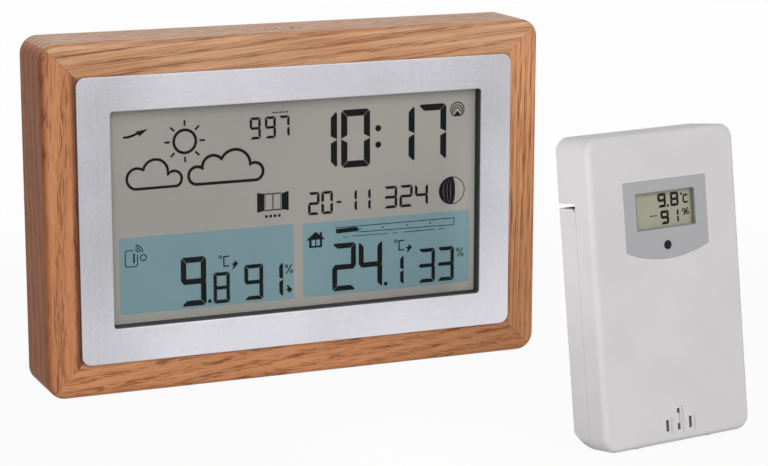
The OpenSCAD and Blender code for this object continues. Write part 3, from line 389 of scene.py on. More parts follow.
# Moulded plastics: colour, roughness, and the texture's size and depth
BLACK = moulded("black_moulded", tone(56, 56, 60), 0.5, 0.35, 0.03)
GREY = moulded("grey_moulded", tone(105, 106, 110), 0.45, 0.4, 0.02)
PALE = {"colour": tone(199, 197, 198), "roughness": 0.5, "texture_size": 0.5, "depth": 0.012, "drift": 0.02,
        "Specular_IOR_Level": 0.35}
WHITE = moulded("white_moulded", **PALE)
PANEL = brushed("panel_silver_paint", tone(156, 155, 157), 0.45, (2.0, 2.0, 2.0), 0.01, metallic=0.25, fleck=0.1)
CLEAR = clear("clear_acrylic", tone(70, 71, 71), 0.05)
FILM = display_film("display_film", tone(167, 164, 157), tone(161, 158, 151), painted_light_factor=1.38)
TINT = display_film("display_tint", tone(124, 157, 164), tone(119, 152, 160), painted_light_factor=1.38)
SENSOR_FILM = display_film("sensor_display_film", tone(166, 165, 144), tone(160, 159, 140))
INK = display_film("segment_ink", tone(13, 13, 15), tone(18, 18, 20), gloss=0.05)
GUIDE = moulded("milky_guide", tone(225, 228, 228), 0.3, 0.8, 0.01)
BOARD = circuit("board_green")
CHIP = moulded("chip_black", tone(26, 26, 28), 0.55, 0.2, 0.02)
STEEL = brushed("plated_steel", tone(186, 187, 190), 0.3, (1.0, 1.0, 6.0), 0.01)
BRASS = brushed("rolled_brass", tone(205, 168, 98), 0.3, (0.8, 3.0, 3.0), 0.01)
RUBBER = banded("striped_rubber", tone(190, 150, 150), tone(120, 60, 60), axis=0, pitch=0.5, share=0.5,
                roughness=0.6)
FERRITE = moulded("ferrite", tone(58, 58, 62), 0.6, 0.3, 0.03)
COPPER = (tone(150, 78, 36), tone(190, 110, 56))
WINDING = banded("wound_wire", *COPPER, axis=0, pitch=0.4, share=0.5, roughness=0.35, metallic=0.6)
SPRING_COIL = banded("coiled_wire", *COPPER, axis=2, pitch=0.5, share=0.5, roughness=0.35, metallic=0.6)
WIRE = moulded("wire_sleeve", tone(170, 42, 34), 0.45, 0.3, 0.01)
LENS = moulded("dark_lens", tone(14, 14, 16), 0.3, 1.0, 0.002, Specular_IOR_Level=0.15)

# Surfaces


def facing_out(points, quads, caps):
    """Turns a closed skin the right way round. Its volume, the sum of a . (b x c) / 6 over triangles, is
    positive when its faces point outwards."""
    corners = [quads[:, [0, 1, 2]], quads[:, [0, 2, 3]]]
    corners += [np.stack([np.full(len(c) - 2, c[0]), c[1:-1], c[2:]], 1) for c in caps]
    a, b, c = (points[np.concatenate(corners)[:, k]] for k in range(3))
    if np.einsum("ij,ij->", a, np.cross(b, c)) < 0:
        quads, caps = quads[:, ::-1], [c[::-1] for c in caps]
    return points, quads, caps


def loft(loops, closed=False):
    """Joins loops of equal length: point j of a loop meets points j and j + 1 of the next. An open skin
    gets a flat face at both ends, and a closed one joins its last loop to its first."""
    loops = np.asarray(loops, float)
    rows, around = loops.shape[:2]
    index = np.arange(rows * around).reshape(rows, around)
    lower = index if closed else index[:-1]
    upper = np.roll(index, -1, axis=0) if closed else index[1:]
    quads = np.stack([lower, np.roll(lower, -1, 1), np.roll(upper, -1, 1), upper], -1).reshape(-1, 4)
    caps = [] if closed else [index[0][::-1], index[-1]]
    return facing_out(loops.reshape(-1, 3), quads, caps)


def joined(skins):
    """Several skins as one set of points, quads and caps."""
    starts = np.cumsum([0] + [len(s[0]) for s in skins[:-1]])
    return (np.concatenate([s[0] for s in skins]),
            np.concatenate([s[1] + start for s, start in zip(skins, starts)]),
            [cap + start for s, start in zip(skins, starts) for cap in s[2]])


def dress(thing, finish, body, stands_for):
    """Gives a piece its finish, the body it moves with and the solids it stands for."""
    thing.data.materials.clear()
    thing.data.materials.append(finish)
    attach(thing, body)
    if stands_for:
        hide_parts(*stands_for)
    return thing


def piece(name, skins, finish, body, stands_for=(), crease=35):
    """Makes one object from skins in millimetres. Edges that turn by more than the crease stay sharp."""
    points, quads, caps = joined(skins)
    mesh = bpy.data.meshes.new(name)
    mesh.from_pydata((points * MM).tolist(), [], quads.tolist() + [c.tolist() for c in caps])
    mesh.shade_smooth()
    mesh.set_sharp_from_angle(angle=math.radians(crease))
    thing = bpy.data.objects.new(name, mesh)
    bpy.context.scene.collection.objects.link(thing)
    return dress(thing, finish, body, stands_for)


def smoothed(node, finish, crease):
    """Stands for a solid by a copy of its mesh with its doubles merged and its round faces shaded round.
    The normals are weighted by face area alone, so the flats stay flat."""
    solid = frame["nodes"][node]
    mesh = solid.data.copy()
    thing = bpy.data.objects.new(node + "_finished", mesh)
    bpy.context.scene.collection.objects.link(thing)
    with bpy.context.temp_override(active_object=thing, object=thing, selected_objects=[thing]):
        merge = thing.modifiers.new("merge", "WELD")
        merge.merge_threshold = MERGE_DISTANCE
        bpy.ops.object.modifier_apply(modifier="merge")
    thing.data.shade_smooth()
    thing.data.set_sharp_from_angle(angle=math.radians(crease))
    weigh = thing.modifiers.new("weigh", "WEIGHTED_NORMAL")
    weigh.keep_sharp = True
    weigh.weight = 100
    return dress(thing, finish, solid["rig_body"], (node,))


def rounded_outline(width, height, radii, steps=8):
    """A rectangle with round corners as (x, z) points, anticlockwise from the lower right. Each corner is
    the quarter circle centre + r (cos a, sin a), and radii may hold one radius for each corner."""
    radii = np.broadcast_to(np.asarray(radii, float), (4,))
    turn = np.radians(np.linspace(0, 90, steps + 1))[None, :] + np.radians([-90, 0, 90, 180])[:, None]
    side = np.array([[1, -1], [1, 1], [-1, 1], [-1, -1]])
    centre = side * (np.array([width, height]) / 2 - radii[:, None])
    points = centre[:, None, :] + radii[:, None, None] * np.stack([np.cos(turn), np.sin(turn)], -1)
    return points.reshape(-1, 2)


def at_depth(outline, depth, shift=(0, 0)):
    """An (x, z) outline set upright at a depth y."""
    outline = np.asarray(outline, float) + shift
    return np.stack([outline[:, 0], np.broadcast_to(depth, len(outline)), outline[:, 1]], 1)


def slab(outline, front, back):
    """An outline given thickness from its front depth to its back depth."""
    return loft([at_depth(outline, front), at_depth(outline, back)])


def ribbon(path, width, front, back, closed=False):
    """A flat band of even width along a path of (x, z) points: each point moves half the width along the
    mean of its two neighbours' normals, lengthened by 1 / cos of half the turn."""
    path = np.asarray(path, float)
    ahead = np.roll(path, -1, 0) - path
    if not closed:
        ahead[-1] = ahead[-2]
    ahead /= np.linalg.norm(ahead, axis=1, keepdims=True)
    behind = np.roll(ahead, 1, 0)
    if not closed:
        behind[0] = ahead[0]
    normal = np.stack([-(ahead + behind)[:, 1], (ahead + behind)[:, 0]], 1)
    normal /= np.maximum((normal ** 2).sum(1, keepdims=True) / 2, 0.5)
    left, right = path + normal * width / 2, path - normal * width / 2
    return loft(np.stack([at_depth(left, front), at_depth(right, front),
                          at_depth(right, back), at_depth(left, back)], 1), closed)


def circle(centre, radius, steps=40, start=0.0, end=360.0):
    """Points on a circle from one angle to another, centre + r (cos a, sin a); a whole circle leaves out
    its last point."""
    turn = np.radians(np.linspace(start, end, steps, endpoint=end - start < 360))
    return np.asarray(centre) + radius * np.stack([np.cos(turn), np.sin(turn)], 1)


def bow(first, middle, last, steps=20):
    """The circle arc through three points. Its centre is where the perpendicular bisectors meet."""
    a, b, c = (np.asarray(p, float) for p in (first, middle, last))
    centre = np.linalg.solve(2 * np.array([b - a, c - a]), [b @ b - a @ a, c @ c - a @ a])
    start, mid, end = (math.atan2(*(p - centre)[::-1]) for p in (a, b, c))
    mid, end = start + (mid - start) % math.tau, start + (end - start) % math.tau
    if mid > end:
        end -= math.tau
    turn = np.linspace(start, end, steps)
    return centre + np.linalg.norm(a - centre) * np.stack([np.cos(turn), np.sin(turn)], 1)


# Oak frame: a member's breadth, the outer corner and the soft edge, the step for the cover at the back, and
# how far the extra loops lie from edges and corners

HALF_WIDTH, HALF_DEPTH = span("frame_right_stile")[1][:2]
FULL_HEIGHT = span("frame_top_rail")[1][2]
MEMBER = 16.2
CORNER = 6.5
SOFT_EDGE = 2.5
BEYOND_EDGE = SOFT_EDGE + 0.35
INNER_LOOP = BEYOND_EDGE + 4
STEP_WIDTH, STEP_DEPTH = 3.0, 3.5
TINY_CORNER = 0.5
MITRE_GAP = 0.05
BEYOND_CORNER = 0.6


def oak_member(name, half_run, half_rise, finish, lay):
    """One mitred member of the frame. Its section is a loop of (inset from the outer face, depth), and the
    section is carried along a round-cornered outline that shrinks by the inset, from the middle of one
    corner to the middle of the next, so both ends lie in the 45 degree mitre planes. Loops close beyond the
    soft edges and the corners keep the flats' shading flat."""
    bend = np.radians(np.linspace(0, 90, 9))
    front = np.stack([SOFT_EDGE * (1 - np.sin(bend)), -HALF_DEPTH + SOFT_EDGE * (1 - np.cos(bend))], 1)
    section = np.concatenate([
        [[MEMBER, -HALF_DEPTH], [INNER_LOOP, -HALF_DEPTH], [BEYOND_EDGE, -HALF_DEPTH]], front,
        [[0, BEYOND_EDGE - HALF_DEPTH], [0, HALF_DEPTH - BEYOND_EDGE]], front[::-1] * [1, -1],
        [[BEYOND_EDGE, HALF_DEPTH], [MEMBER - STEP_WIDTH, HALF_DEPTH],
         [MEMBER - STEP_WIDTH, HALF_DEPTH - STEP_DEPTH], [MEMBER, HALF_DEPTH - STEP_DEPTH]]])
    radius = np.maximum(CORNER - section[:, 0], TINY_CORNER)
    reach = half_run - section[:, 0] - radius
    rise = half_rise - section[:, 0] - radius
    turn = np.radians(np.linspace(45, 90, 9))[:, None]
    right = np.stack([reach + radius * np.cos(turn) - MITRE_GAP, rise + radius * np.sin(turn)], -1)
    near_right = np.stack([reach - BEYOND_CORNER, rise + radius], -1)[None]
    path = np.concatenate([right, near_right])
    path = np.concatenate([path, (path * [-1, 1])[::-1]])
    x, z = lay(path[..., 0], path[..., 1])
    depth = np.broadcast_to(section[:, 1], path.shape[:2])
    skin = loft(np.stack([x, depth, z + FULL_HEIGHT / 2], -1))
    return piece(name + "_grained", [skin], finish, "station", (name,))


oak_member("frame_top_rail", HALF_WIDTH, FULL_HEIGHT / 2, OAK_TOP, lambda run, rise: (run, rise))
oak_member("frame_bottom_rail", HALF_WIDTH, FULL_HEIGHT / 2, OAK_BOTTOM, lambda run, rise: (run, -rise))
oak_member("frame_left_stile", FULL_HEIGHT / 2, HALF_WIDTH, OAK_LEFT, lambda run, rise: (-rise, run))
oak_member("frame_right_stile", FULL_HEIGHT / 2, HALF_WIDTH, OAK_RIGHT, lambda run, rise: (rise, run))

# Bezel

bezel_low, bezel_high = span("bezel")
BEZEL_WIDTH = bezel_high[0] - bezel_low[0]
BEZEL_HEIGHT = bezel_high[2] - bezel_low[2]
MID_Z = (bezel_high[2] + bezel_low[2]) / 2
WINDOW_WIDTH, WINDOW_HEIGHT = 145.2, 79.2
BEZEL_RADIUS, WINDOW_RADIUS, BEZEL_EDGE = 3.5, 1.2, 0.22


def bezel_loops():
    """The bezel's section as outlines: up its outer side, round the front rim, across, and back down the
    window's side. With an inset e (1 - cos a), the rim's depth is the face's plus e (1 - sin a)."""
    bend = np.radians(np.linspace(0, 90, 5))
    inset = np.concatenate([[0], BEZEL_EDGE * (1 - np.cos(bend)), [BEZEL_EDGE * 2]])
    depth = np.concatenate([[bezel_high[1]], bezel_low[1] + BEZEL_EDGE * (1 - np.sin(bend)), [bezel_low[1]]])

    def side(width, height, radius, grows):
        """The outlines of one side, which grow (1) or shrink (-1) by the inset."""
        return [at_depth(rounded_outline(width + 2 * grows * i, height + 2 * grows * i, radius + grows * i, 12),
                         d, (0, MID_Z)) for i, d in zip(inset, depth)]

    return (side(BEZEL_WIDTH, BEZEL_HEIGHT, BEZEL_RADIUS, -1)
            + side(WINDOW_WIDTH, WINDOW_HEIGHT, WINDOW_RADIUS, 1)[::-1])


piece("bezel_ring", [loft(bezel_loops(), closed=True)], BEZEL, "station", ("bezel",), 50)

# Main display

LCD_FACE = span("lcd_panel")[0][1]
TINT_FRONT, INK_FRONT, BEHIND = LCD_FACE - 0.02, LCD_FACE - 0.07, LCD_FACE + 0.02
PATTERN = {"0": "abcdef", "1": "bc", "2": "abged", "3": "abgcd", "4": "fgbc", "7": "abc", "8": "abcdefg",
           "9": "abcdfg"}


def segment_outlines(width, height, bar, gap, cut):
    """The seven bars of a digit as outlines: bars meet on 45 degree lines with a gap between them, the
    outer corners are cut off, and the middle bar has pointed ends. The four upright bars are one bar
    mirrored."""
    mid, half, point = height / 2, bar / 2, gap + 0.1 * bar
    side = [(0, height - cut - gap), (cut / 2, height - cut / 2 - gap), (bar, height - bar - gap),
            (bar, mid + half + gap), (0, mid + gap)]
    top = [(cut + gap, height), (width - cut - gap, height), (width - cut / 2 - gap, height - cut / 2),
           (width - bar - gap, height - bar), (bar + gap, height - bar), (cut / 2 + gap, height - cut / 2)]
    left, over = np.array(side, float), np.array(top, float)
    middle = np.array([(point, mid), (half + gap, mid + half), (width - half - gap, mid + half),
                       (width - point, mid), (width - half - gap, mid - half), (half + gap, mid - half)])
    flip_x, flip_z = np.array([-1, 1]), np.array([1, -1])
    across, down = np.array([width, 0]), np.array([0, height])
    return {"a": over, "d": over * flip_z + down, "f": left, "b": left * flip_x + across,
            "e": left * flip_z + down, "c": left * flip_x * flip_z + across + down, "g": middle}


def digits(text, left, bottom, width, height, bar, pitch, gap=0.16, cut=0.0):
    """Outlines of a row of seven-bar digits. The outer corners are cut by two fifths of a bar if no cut is
    given."""
    bars = segment_outlines(width, height, bar, gap, cut or bar * 0.4)
    return [bars[name] + (left + place * pitch, bottom)
            for place, sign in enumerate(text) for name in PATTERN[sign]]


def degree_sign(left, bottom):
    """A small ring, and a square C drawn with one line."""
    right, top = left + 2.1, bottom + 3.6
    return [(circle((left - 1.3, top - 0.1), 0.52, 16), 0.34, True),
            ([(right, top), (left, top), (left, bottom), (right, bottom)], 0.48, False)]


def percent_sign(left, bottom, width=3.0, height=3.5, line=0.42):
    """A slanted line with a small ring on each side."""
    return [([(left + 0.5, bottom), (left + width - 0.3, bottom + height)], line, False),
            (circle((left + 0.6, bottom + height - 0.7), 0.5, 14), 0.36, True),
            (circle((left + width - 0.5, bottom + 0.7), 0.5, 14), 0.36, True)]


def small_arrow(left, bottom, rising=True):
    """A short fat arrow, 2.6 by 3.2, that points up to the right, or mirrored, down to the right."""
    shape = np.array([(0.0, -0.1), (0.95, 0.2), (1.6, 1.05), (2.45, 1.7), (1.2, 3.1), (0.75, 2.1), (-0.15, 1.9),
                      (0.6, 1.1)])
    mirror = [0, 2.9]
    return (shape if rising else shape * [1, -1] + mirror) + (left, bottom)


def crescents(centre, radius, bounds):
    """Upright slices of a disc: each lies between the curves x = k r cos a for two values of k."""
    turn = np.radians(np.linspace(-90, 90, 25))
    rise = radius * np.sin(turn)
    return [np.asarray(centre) + np.concatenate([np.stack([low * radius * np.cos(turn), rise], 1),
                                                 np.stack([high * radius * np.cos(turn), rise], 1)[-2:0:-1]])
            for low, high in bounds]


def cloud(lobes, line):
    """A cloud outline: arcs through three points each, closed by a straight base."""
    return (np.concatenate([bow(*lobe)[:-1] for lobe in lobes] + [[lobes[-1][2]]]), line, True)


# Rows of digits: text, left, bottom, width, height, bar, pitch, and for some the gap and the cut
NUMBERS = (
    ("10", 4.2, 76.75, 11.65, 21.8, 2.5, 13.25, 0.1, 1.0), ("17", 35.6, 76.95, 11.65, 21.7, 2.45, 13.05, 0.1, 1.0),
    ("20", 4.15, 59.8, 4.6, 8.7, 1.05, 5.35), ("11", 19.3, 59.85, 4.5, 8.6, 1.0, 5.55),
    ("324", 34.8, 59.95, 5.4, 8.5, 1.05, 6.35),
    ("99", -18.5, 89.85, 4.3, 8.15, 0.98, 5.9), ("7", -7.25, 89.85, 4.3, 8.15, 0.95, 5.9),
    ("24", 13.75, 29.85, 9.6, 18.3, 2.0, 10.75, 0.1), ("1", 36.65, 29.85, 6.3, 11.7, 1.45, 7.0, 0.12),
    ("33", 48.95, 29.9, 7.0, 13.3, 1.45, 7.95, 0.12),
    ("9", -45.75, 29.55, 9.75, 18.4, 2.1, 10.8, 0.1), ("8", -33.25, 29.6, 6.35, 11.7, 1.35, 7.0, 0.1),
    ("91", -21.2, 29.7, 7.4, 13.45, 1.5, 7.85, 0.1),
)
# Round dots: the two of the clock, and the two decimal points
DOTS = (((32.4, 90.8), 1.2), ((32.4, 84.6), 1.2), ((35.55, 31.0), 0.8), ((-34.75, 30.8), 0.75))
GAUGE_FILL = [(15.6, 52.0), (24.3, 52.2), (24.3, 53.5), (23.4, 53.95), (15.6, 53.7)]
DATE_DASH = [(15.55, 64.4), (15.55, 63.6), (17.5, 63.6), (17.5, 64.4)]
ARROWS = ((-25.95, 42.2), (44.0, 42.45), (-4.7, 31.1, False))
TREND_HEAD = [(-61.9, 95.75), (-57.2, 96.4), (-60.5, 93.8), (-61.0, 94.75)]
CASEMENTS = ([(-15.9, 69.85), (-15.9, 62.4), (-13.1, 63.0), (-13.1, 69.35)],
             [(-3.5, 69.8), (-6.3, 69.0), (-6.3, 62.95), (-3.5, 62.5)])
HOUSE = [(3.3, 50.3), (7.15, 53.4), (8.8, 52.1), (8.8, 53.1), (9.7, 53.1), (9.7, 51.3), (11.0, 50.3), (9.7, 50.3),
         (9.7, 47.35), (4.5, 47.35), (4.5, 50.3)]
MAST = [(63.2, 93.35), (66.55, 93.35), (65.7, 94.5), (64.87, 95.35), (64.05, 94.5)]
MOON, MOON_RADIUS = (62.8, 64.9), 5.2
SUN, SUN_RADIUS = np.array((-43.43, 90.94)), 4.2
OUTDOOR_WAVES = (-63.0, 51.2)

solid_marks = [bar for row in NUMBERS for bar in digits(*row)]
solid_marks += [circle(centre, radius, 20) for centre, radius in DOTS]
solid_marks += [circle((x, 52.95), 0.34, 10) for x in (25.0, 34.3, 44.3, 53.9)]
solid_marks += [circle((x, 50.35), 0.24, 8) for x in (18.6, 19.4, 20.2, 38.5, 39.3, 40.1, 57.6, 58.4, 59.2)]
solid_marks += [np.array(shape) for shape in (GAUGE_FILL, DATE_DASH)]
solid_marks += [small_arrow(*arrow) for arrow in ARROWS]
solid_marks += [np.array(shape) for shape in (TREND_HEAD, *CASEMENTS, HOUSE, MAST)]
solid_marks += crescents(MOON, MOON_RADIUS, ((-1.0, -0.70), (-0.675, -0.40), (-0.375, -0.10), (-0.075, 0.27)))

# Lines: a path, its width, and whether it is closed. First the sun and its rays, then the trend arrow's tail
lines = [(circle(SUN, SUN_RADIUS, 48), 1.05, True)]
lines += [([SUN + r * np.array((math.cos(a), math.sin(a))) for r in (5.6, 7.7)], 0.72, False)
          for a in np.radians(np.arange(0, 360, 45))]
lines += [([(-66.5, 93.75), (-64.6, 93.85), (-62.8, 94.35), (-60.6, 95.2)], 0.85, False)]
# The two clouds
lines += [cloud([((-62.5, 74.7), (-65.5, 78.4), (-59.4, 81.5)), ((-59.3, 81.6), (-54.5, 85.1), (-50.0, 80.1)),
                 ((-50.1, 79.2), (-45.1, 78.8), (-46.6, 74.8))], 1.0),
          cloud([((-39.3, 74.8), (-42.2, 78.1), (-36.9, 80.6)), ((-36.9, 80.7), (-33.6, 85.0), (-29.5, 83.5)),
                 ((-29.5, 83.6), (-24.1, 86.7), (-18.4, 81.0)), ((-18.4, 80.9), (-13.5, 78.6), (-16.0, 74.8))], 1.1)]
# The moon's rim, and the arcs over the mast
lines += [(circle(MOON, MOON_RADIUS + 0.02, 60), 0.32, True),
          (circle((64.87, 95.87), 2.75, 36, -62, 242), 0.42, False),
          (circle((64.87, 95.6), 1.98, 24, -35, 215), 0.4, False),
          (circle((64.87, 95.4), 1.22, 18, -18, 198), 0.4, False)]
# The outdoor sign: a case with a column, a ring and three waves
lines += [([(-63.7, 52.3), (-66.1, 52.3), (-66.7, 51.7), (-66.7, 46.9), (-66.1, 46.3), (-62.7, 46.3), (-62.1, 46.9),
            (-62.1, 50.6)], 0.34, False),
          ([(-63.4, 47.6), (-63.4, 51.1)], 0.62, False), (circle((-59.85, 49.35), 1.1, 24), 0.38, True)]
lines += [(circle(OUTDOOR_WAVES, radius, steps, 5, 85), 0.42, False)
          for radius, steps in ((1.2, 12), (2.1, 14), (3.0, 16))]
# The gauge, the window between its casements, and the bars under and over it
lines += [([(24.1, 51.9), (63.7, 51.55), (63.8, 54.2), (15.4, 54.2), (15.4, 52.2)], 0.26, False),
          ([(21.8, 50.55), (36.4, 50.35)], 0.24, False), ([(42.7, 50.35), (55.8, 50.35)], 0.24, False)]
lines += [(rounded_outline(2.9, 5.9, 0.1, 2) + (x, 66.1), 0.18, True) for x in (-11.35, -8.1)]
lines += [([(-13.1, z), (-6.3, z)], 0.22, False) for z in (69.25, 62.95)]
lines += [([(x, 60.75), (x + 1.0, 60.75)], 1.0, False) for x in (-12.8, -11.1, -9.4, -7.7)]
lines += [([(x, 99.3), (x + 0.9, 99.3)], 0.45, False) for x in (-9.6, -8.3, -7.0, -5.7, -4.4)]
lines += degree_sign(-29.1, 43.45) + degree_sign(41.0, 43.55)
lines += percent_sign(-5.15, 38.45) + percent_sign(64.85, 38.8)

piece("display_marks", [slab(m, INK_FRONT, BEHIND) for m in solid_marks]
      + [ribbon(path, line, INK_FRONT, BEHIND, closed) for path, line, closed in lines],
      INK, "station")

# Tinted fields: middle x and z, width and height; and two strips beside the house
TINTS = ((-35.3, 42.85, 67.3, 28.4), (36.15, 42.75, 68.1, 28.2))
TINT_STRIPS = (6.2, 8.1)
piece("display_tints", [slab(rounded_outline(w, h, 0.8, 5) + (x, z), TINT_FRONT, BEHIND) for x, z, w, h in TINTS]
      + [slab(rounded_outline(1.4, 2.3, 0.1, 2) + (x, 49.2), INK_FRONT - 0.02, BEHIND) for x in TINT_STRIPS],
      TINT, "station")

RIM_LEFT, RIM_RIGHT, RIM_BOTTOM, RIM_TOP = 0.2, 0.3, 0.45, 0.3
rim_outer = rounded_outline(WINDOW_WIDTH + 1.0, WINDOW_HEIGHT + 1.0, 0.5, 4) + (0, MID_Z)
rim_inner = (rounded_outline(WINDOW_WIDTH - RIM_LEFT - RIM_RIGHT, WINDOW_HEIGHT - RIM_BOTTOM - RIM_TOP, 0.5, 4)
             + ((RIM_LEFT - RIM_RIGHT) / 2, MID_Z + (RIM_BOTTOM - RIM_TOP) / 2))
rim_loops = [at_depth(rim_outer, BEHIND), at_depth(rim_outer, INK_FRONT),
             at_depth(rim_inner, INK_FRONT), at_depth(rim_inner, BEHIND)]
piece("display_rim", [loft(rim_loops, closed=True)], BLACK, "station")

# Small dots on top of the oak, over the touch plate: x, y and radius
TOUCH_DOTS = ((-9.0, -3.2, 0.5), (-5.2, -3.6, 0.75), (-1.6, -3.0, 0.55), (2.0, -2.4, 0.75), (4.6, -1.9, 0.55))
DOT_FOOT, DOT_HEAD = FULL_HEIGHT - 0.05, FULL_HEIGHT + 0.02


def standing_disc(x, y, low, high, radius, steps=18):
    """A low round disc on a flat top: the circle (x + r cos a, y + r sin a) at two heights."""
    turn = np.linspace(0, math.tau, steps, endpoint=False)
    ring = np.stack([x + radius * np.cos(turn), y + radius * np.sin(turn)], 1)
    return loft([np.column_stack([ring, np.full(steps, z)]) for z in (low, high)])


piece("touch_marks", [standing_disc(x, y, DOT_FOOT, DOT_HEAD, radius) for x, y, radius in TOUCH_DOTS],
      INK, "station")

# Remote sensor: everything here is drawn in its own frame, upright with its front at y = 0

AXIS_OF = {joint["name"]: np.array(joint["axis"]) for joint in frame["joints"]}
across, inward = AXIS_OF["stand_hinge"], -AXIS_OF["send_button_press"]
SENSOR_TURN = np.stack([across, inward, np.cross(across, inward)], 1)
# Its display: the faces of the display and of the panel around it, and the opening's middle height and size
EYE_FACE, EYE_BACK, PANEL_FACE = 2.0, 3.8, 0.1
EYE_RISE, EYE_WIDTH, EYE_HEIGHT = 79.0, 24.4, 12.0
EYE_INK_FRONT, EYE_BEHIND = EYE_FACE - 0.06, EYE_FACE + 0.02
SENSOR_PLACE = np.mean(span("sensor_lcd"), axis=0) - SENSOR_TURN @ (0, (EYE_FACE + EYE_BACK) / 2, EYE_RISE)


def on_sensor(skins):
    """Skins from the sensor's own frame, leaned back, turned and set in their place."""
    return [(points @ SENSOR_TURN.T + SENSOR_PLACE, quads, caps) for points, quads, caps in skins]


eye_marks = (digits("98", -1.8, 79.5, 3.5, 4.8, 0.92, 5.4, 0.06) + digits("9", -0.9, 73.75, 3.5, 4.7, 0.92, 4.2, 0.06)
             + digits("1", 3.3, 73.75, 3.5, 4.8, 0.72, 4.2, 0.03) + [circle((2.5, 79.9), 0.48, 14)])
eye_lines = [([(11.0, 82.7), (9.7, 82.8), (9.2, 82.3), (9.2, 80.8), (9.7, 80.3), (11.0, 80.4)], 0.6, False),
             (circle((8.4, 83.3), 0.3, 12), 0.34, True)]
eye_lines += percent_sign(8.4, 76.0, 2.7, 2.5, 0.5)
eye_lines += [([(-5.3, 77.0), (-4.3, 77.0)], 0.35, False), ([(-3.9, 77.0), (-2.4, 77.0)], 0.35, False)]
piece("sensor_marks", on_sensor([slab(mark, EYE_INK_FRONT, EYE_BEHIND) for mark in eye_marks]
                                + [ribbon(path, line, EYE_INK_FRONT, EYE_BEHIND, closed)
                                   for path, line, closed in eye_lines]), INK, "sensor")

# A thin grey line of painted shade round the display's opening, on the panel's face, for the shade at its edge
EDGE_SHADE_GROWTH, EDGE_SHADE_LINE = 0.3, 0.3
eye_edge_shade = rounded_outline(EYE_WIDTH + EDGE_SHADE_GROWTH, EYE_HEIGHT + EDGE_SHADE_GROWTH, 0.3, 3) + (0, EYE_RISE)
piece("sensor_display_edge_shade",
      on_sensor([ribbon(eye_edge_shade, EDGE_SHADE_LINE, PANEL_FACE - 0.03, PANEL_FACE + 0.02, closed=True)]),
      GREY, "sensor")

WEB_RISE, WEB_WIDTH, WEB_HEIGHT, WEB_FRONT, WEB_BACK = 8.0, 1.16, 3.6, 0.35, 1.0
vent_web = rounded_outline(WEB_WIDTH, WEB_HEIGHT, 0.4, 3) + (0, WEB_RISE)
piece("sensor_vent_web", on_sensor([slab(vent_web, WEB_FRONT, WEB_BACK)]),
      WHITE, "sensor")

CELL_RISE, SLEEVE_HALF = 34.85, 20.9
GREEN_SLEEVE, BARE_END = tone(46, 88, 68), tone(196, 196, 200)
STATION_CELL = cell("station_cell", GREEN_SLEEVE, BARE_END, (1.0, 0.0, 0.0), 0.0, SLEEVE_HALF)
SENSOR_CELL = cell("sensor_cell", GREEN_SLEEVE, BARE_END, SENSOR_TURN[:, 2].tolist(),
                   float(SENSOR_PLACE @ SENSOR_TURN[:, 2]) + CELL_RISE, SLEEVE_HALF)

# Where the painted shade inside the vents sets in and where it is full: behind the face, to each side, above
# their foot, and where it ends below their head
VENT_DEEP, VENT_SIDE, VENT_FOOT, VENT_HEAD = (0.15, 0.6), (6.0, 6.5), (3.2, 3.6), (12.0, 12.5)


def inside_vents(f):
    """1 inside the wall that the sensor's three vents cut, 0 on its faces and beyond the vents."""
    point = f.place()
    side, deep, rise = (f.dot(point, axis.tolist()) - float(SENSOR_PLACE @ axis) for axis in SENSOR_TURN.T)
    return (deep.eased(*VENT_DEEP) * (1 - side.absolute().eased(*VENT_SIDE))
            * rise.eased(*VENT_FOOT) * (1 - rise.eased(*VENT_HEAD)))


# White plastic with painted shade inside the vents
WHITE_WITH_VENT_SHADE = moulded("white_painted_vent_shade", painted_hollow_shade=inside_vents, **PALE)

# Solids whose shape is right get a smooth copy, or a finish of their own

ROUND_SOLIDS = {
    "front_housing": BLACK, "rear_cover": BLACK, "battery_door": BLACK, "sensor_front_housing": WHITE_WITH_VENT_SHADE,
    "sensor_back_housing": WHITE, "sensor_battery_cover": WHITE, "sensor_stand": WHITE,
    "sensor_display_panel": PANEL, "batteries": STATION_CELL, "sensor_batteries": SENSOR_CELL, "ferrite_rod": FERRITE,
    "antenna_coil": WINDING, "sensor_antenna": SPRING_COIL, "sensor_stand_pin": STEEL, "sensor_lamp": LENS,
    "sensor_send_button": GREY, "sounder": BRASS, "hookup_wires": WIRE, "cover_screws": STEEL,
    "board_screws": STEEL, "key_board_screws": STEEL, "sensor_screws": STEEL,
    "button_set": GREY, "button_up": GREY, "button_down": GREY, "button_alarm": GREY,
    "button_channel": GREY, "button_history": GREY,
}
FLAT_SOLIDS = {
    "display_window": CLEAR, "sensor_window": CLEAR, "lcd_panel": FILM, "sensor_lcd": SENSOR_FILM,
    "light_guide": GUIDE, "lcd_holder": GREY, "lcd_connectors": RUBBER, "sensor_lcd_connector": RUBBER,
    "main_board": BOARD, "board_chips": CHIP, "touch_plate": BRASS, "battery_contacts": STEEL,
    "key_board": BOARD, "key_switches": CHIP, "room_sensor": BOARD, "sensor_board": BOARD,
    "sensor_controls": CHIP, "sensor_probe": BOARD, "sensor_contacts": STEEL,
    "sensor_channel_switch": CHIP,
}
USUAL_CREASE, FINE_CREASE = 28, {"rear_cover": 15, "battery_door": 15}
for node, finish in ROUND_SOLIDS.items():
    smoothed(node, finish, FINE_CREASE.get(node, USUAL_CREASE))
for node, finish in FLAT_SOLIDS.items():
    solid = frame["nodes"][node]
    solid.data.materials.clear()
    solid.data.materials.append(finish)

# Camera, floor and light: places in metres, angles in radians, the middle and the range of the floor's glow
# in millimetres

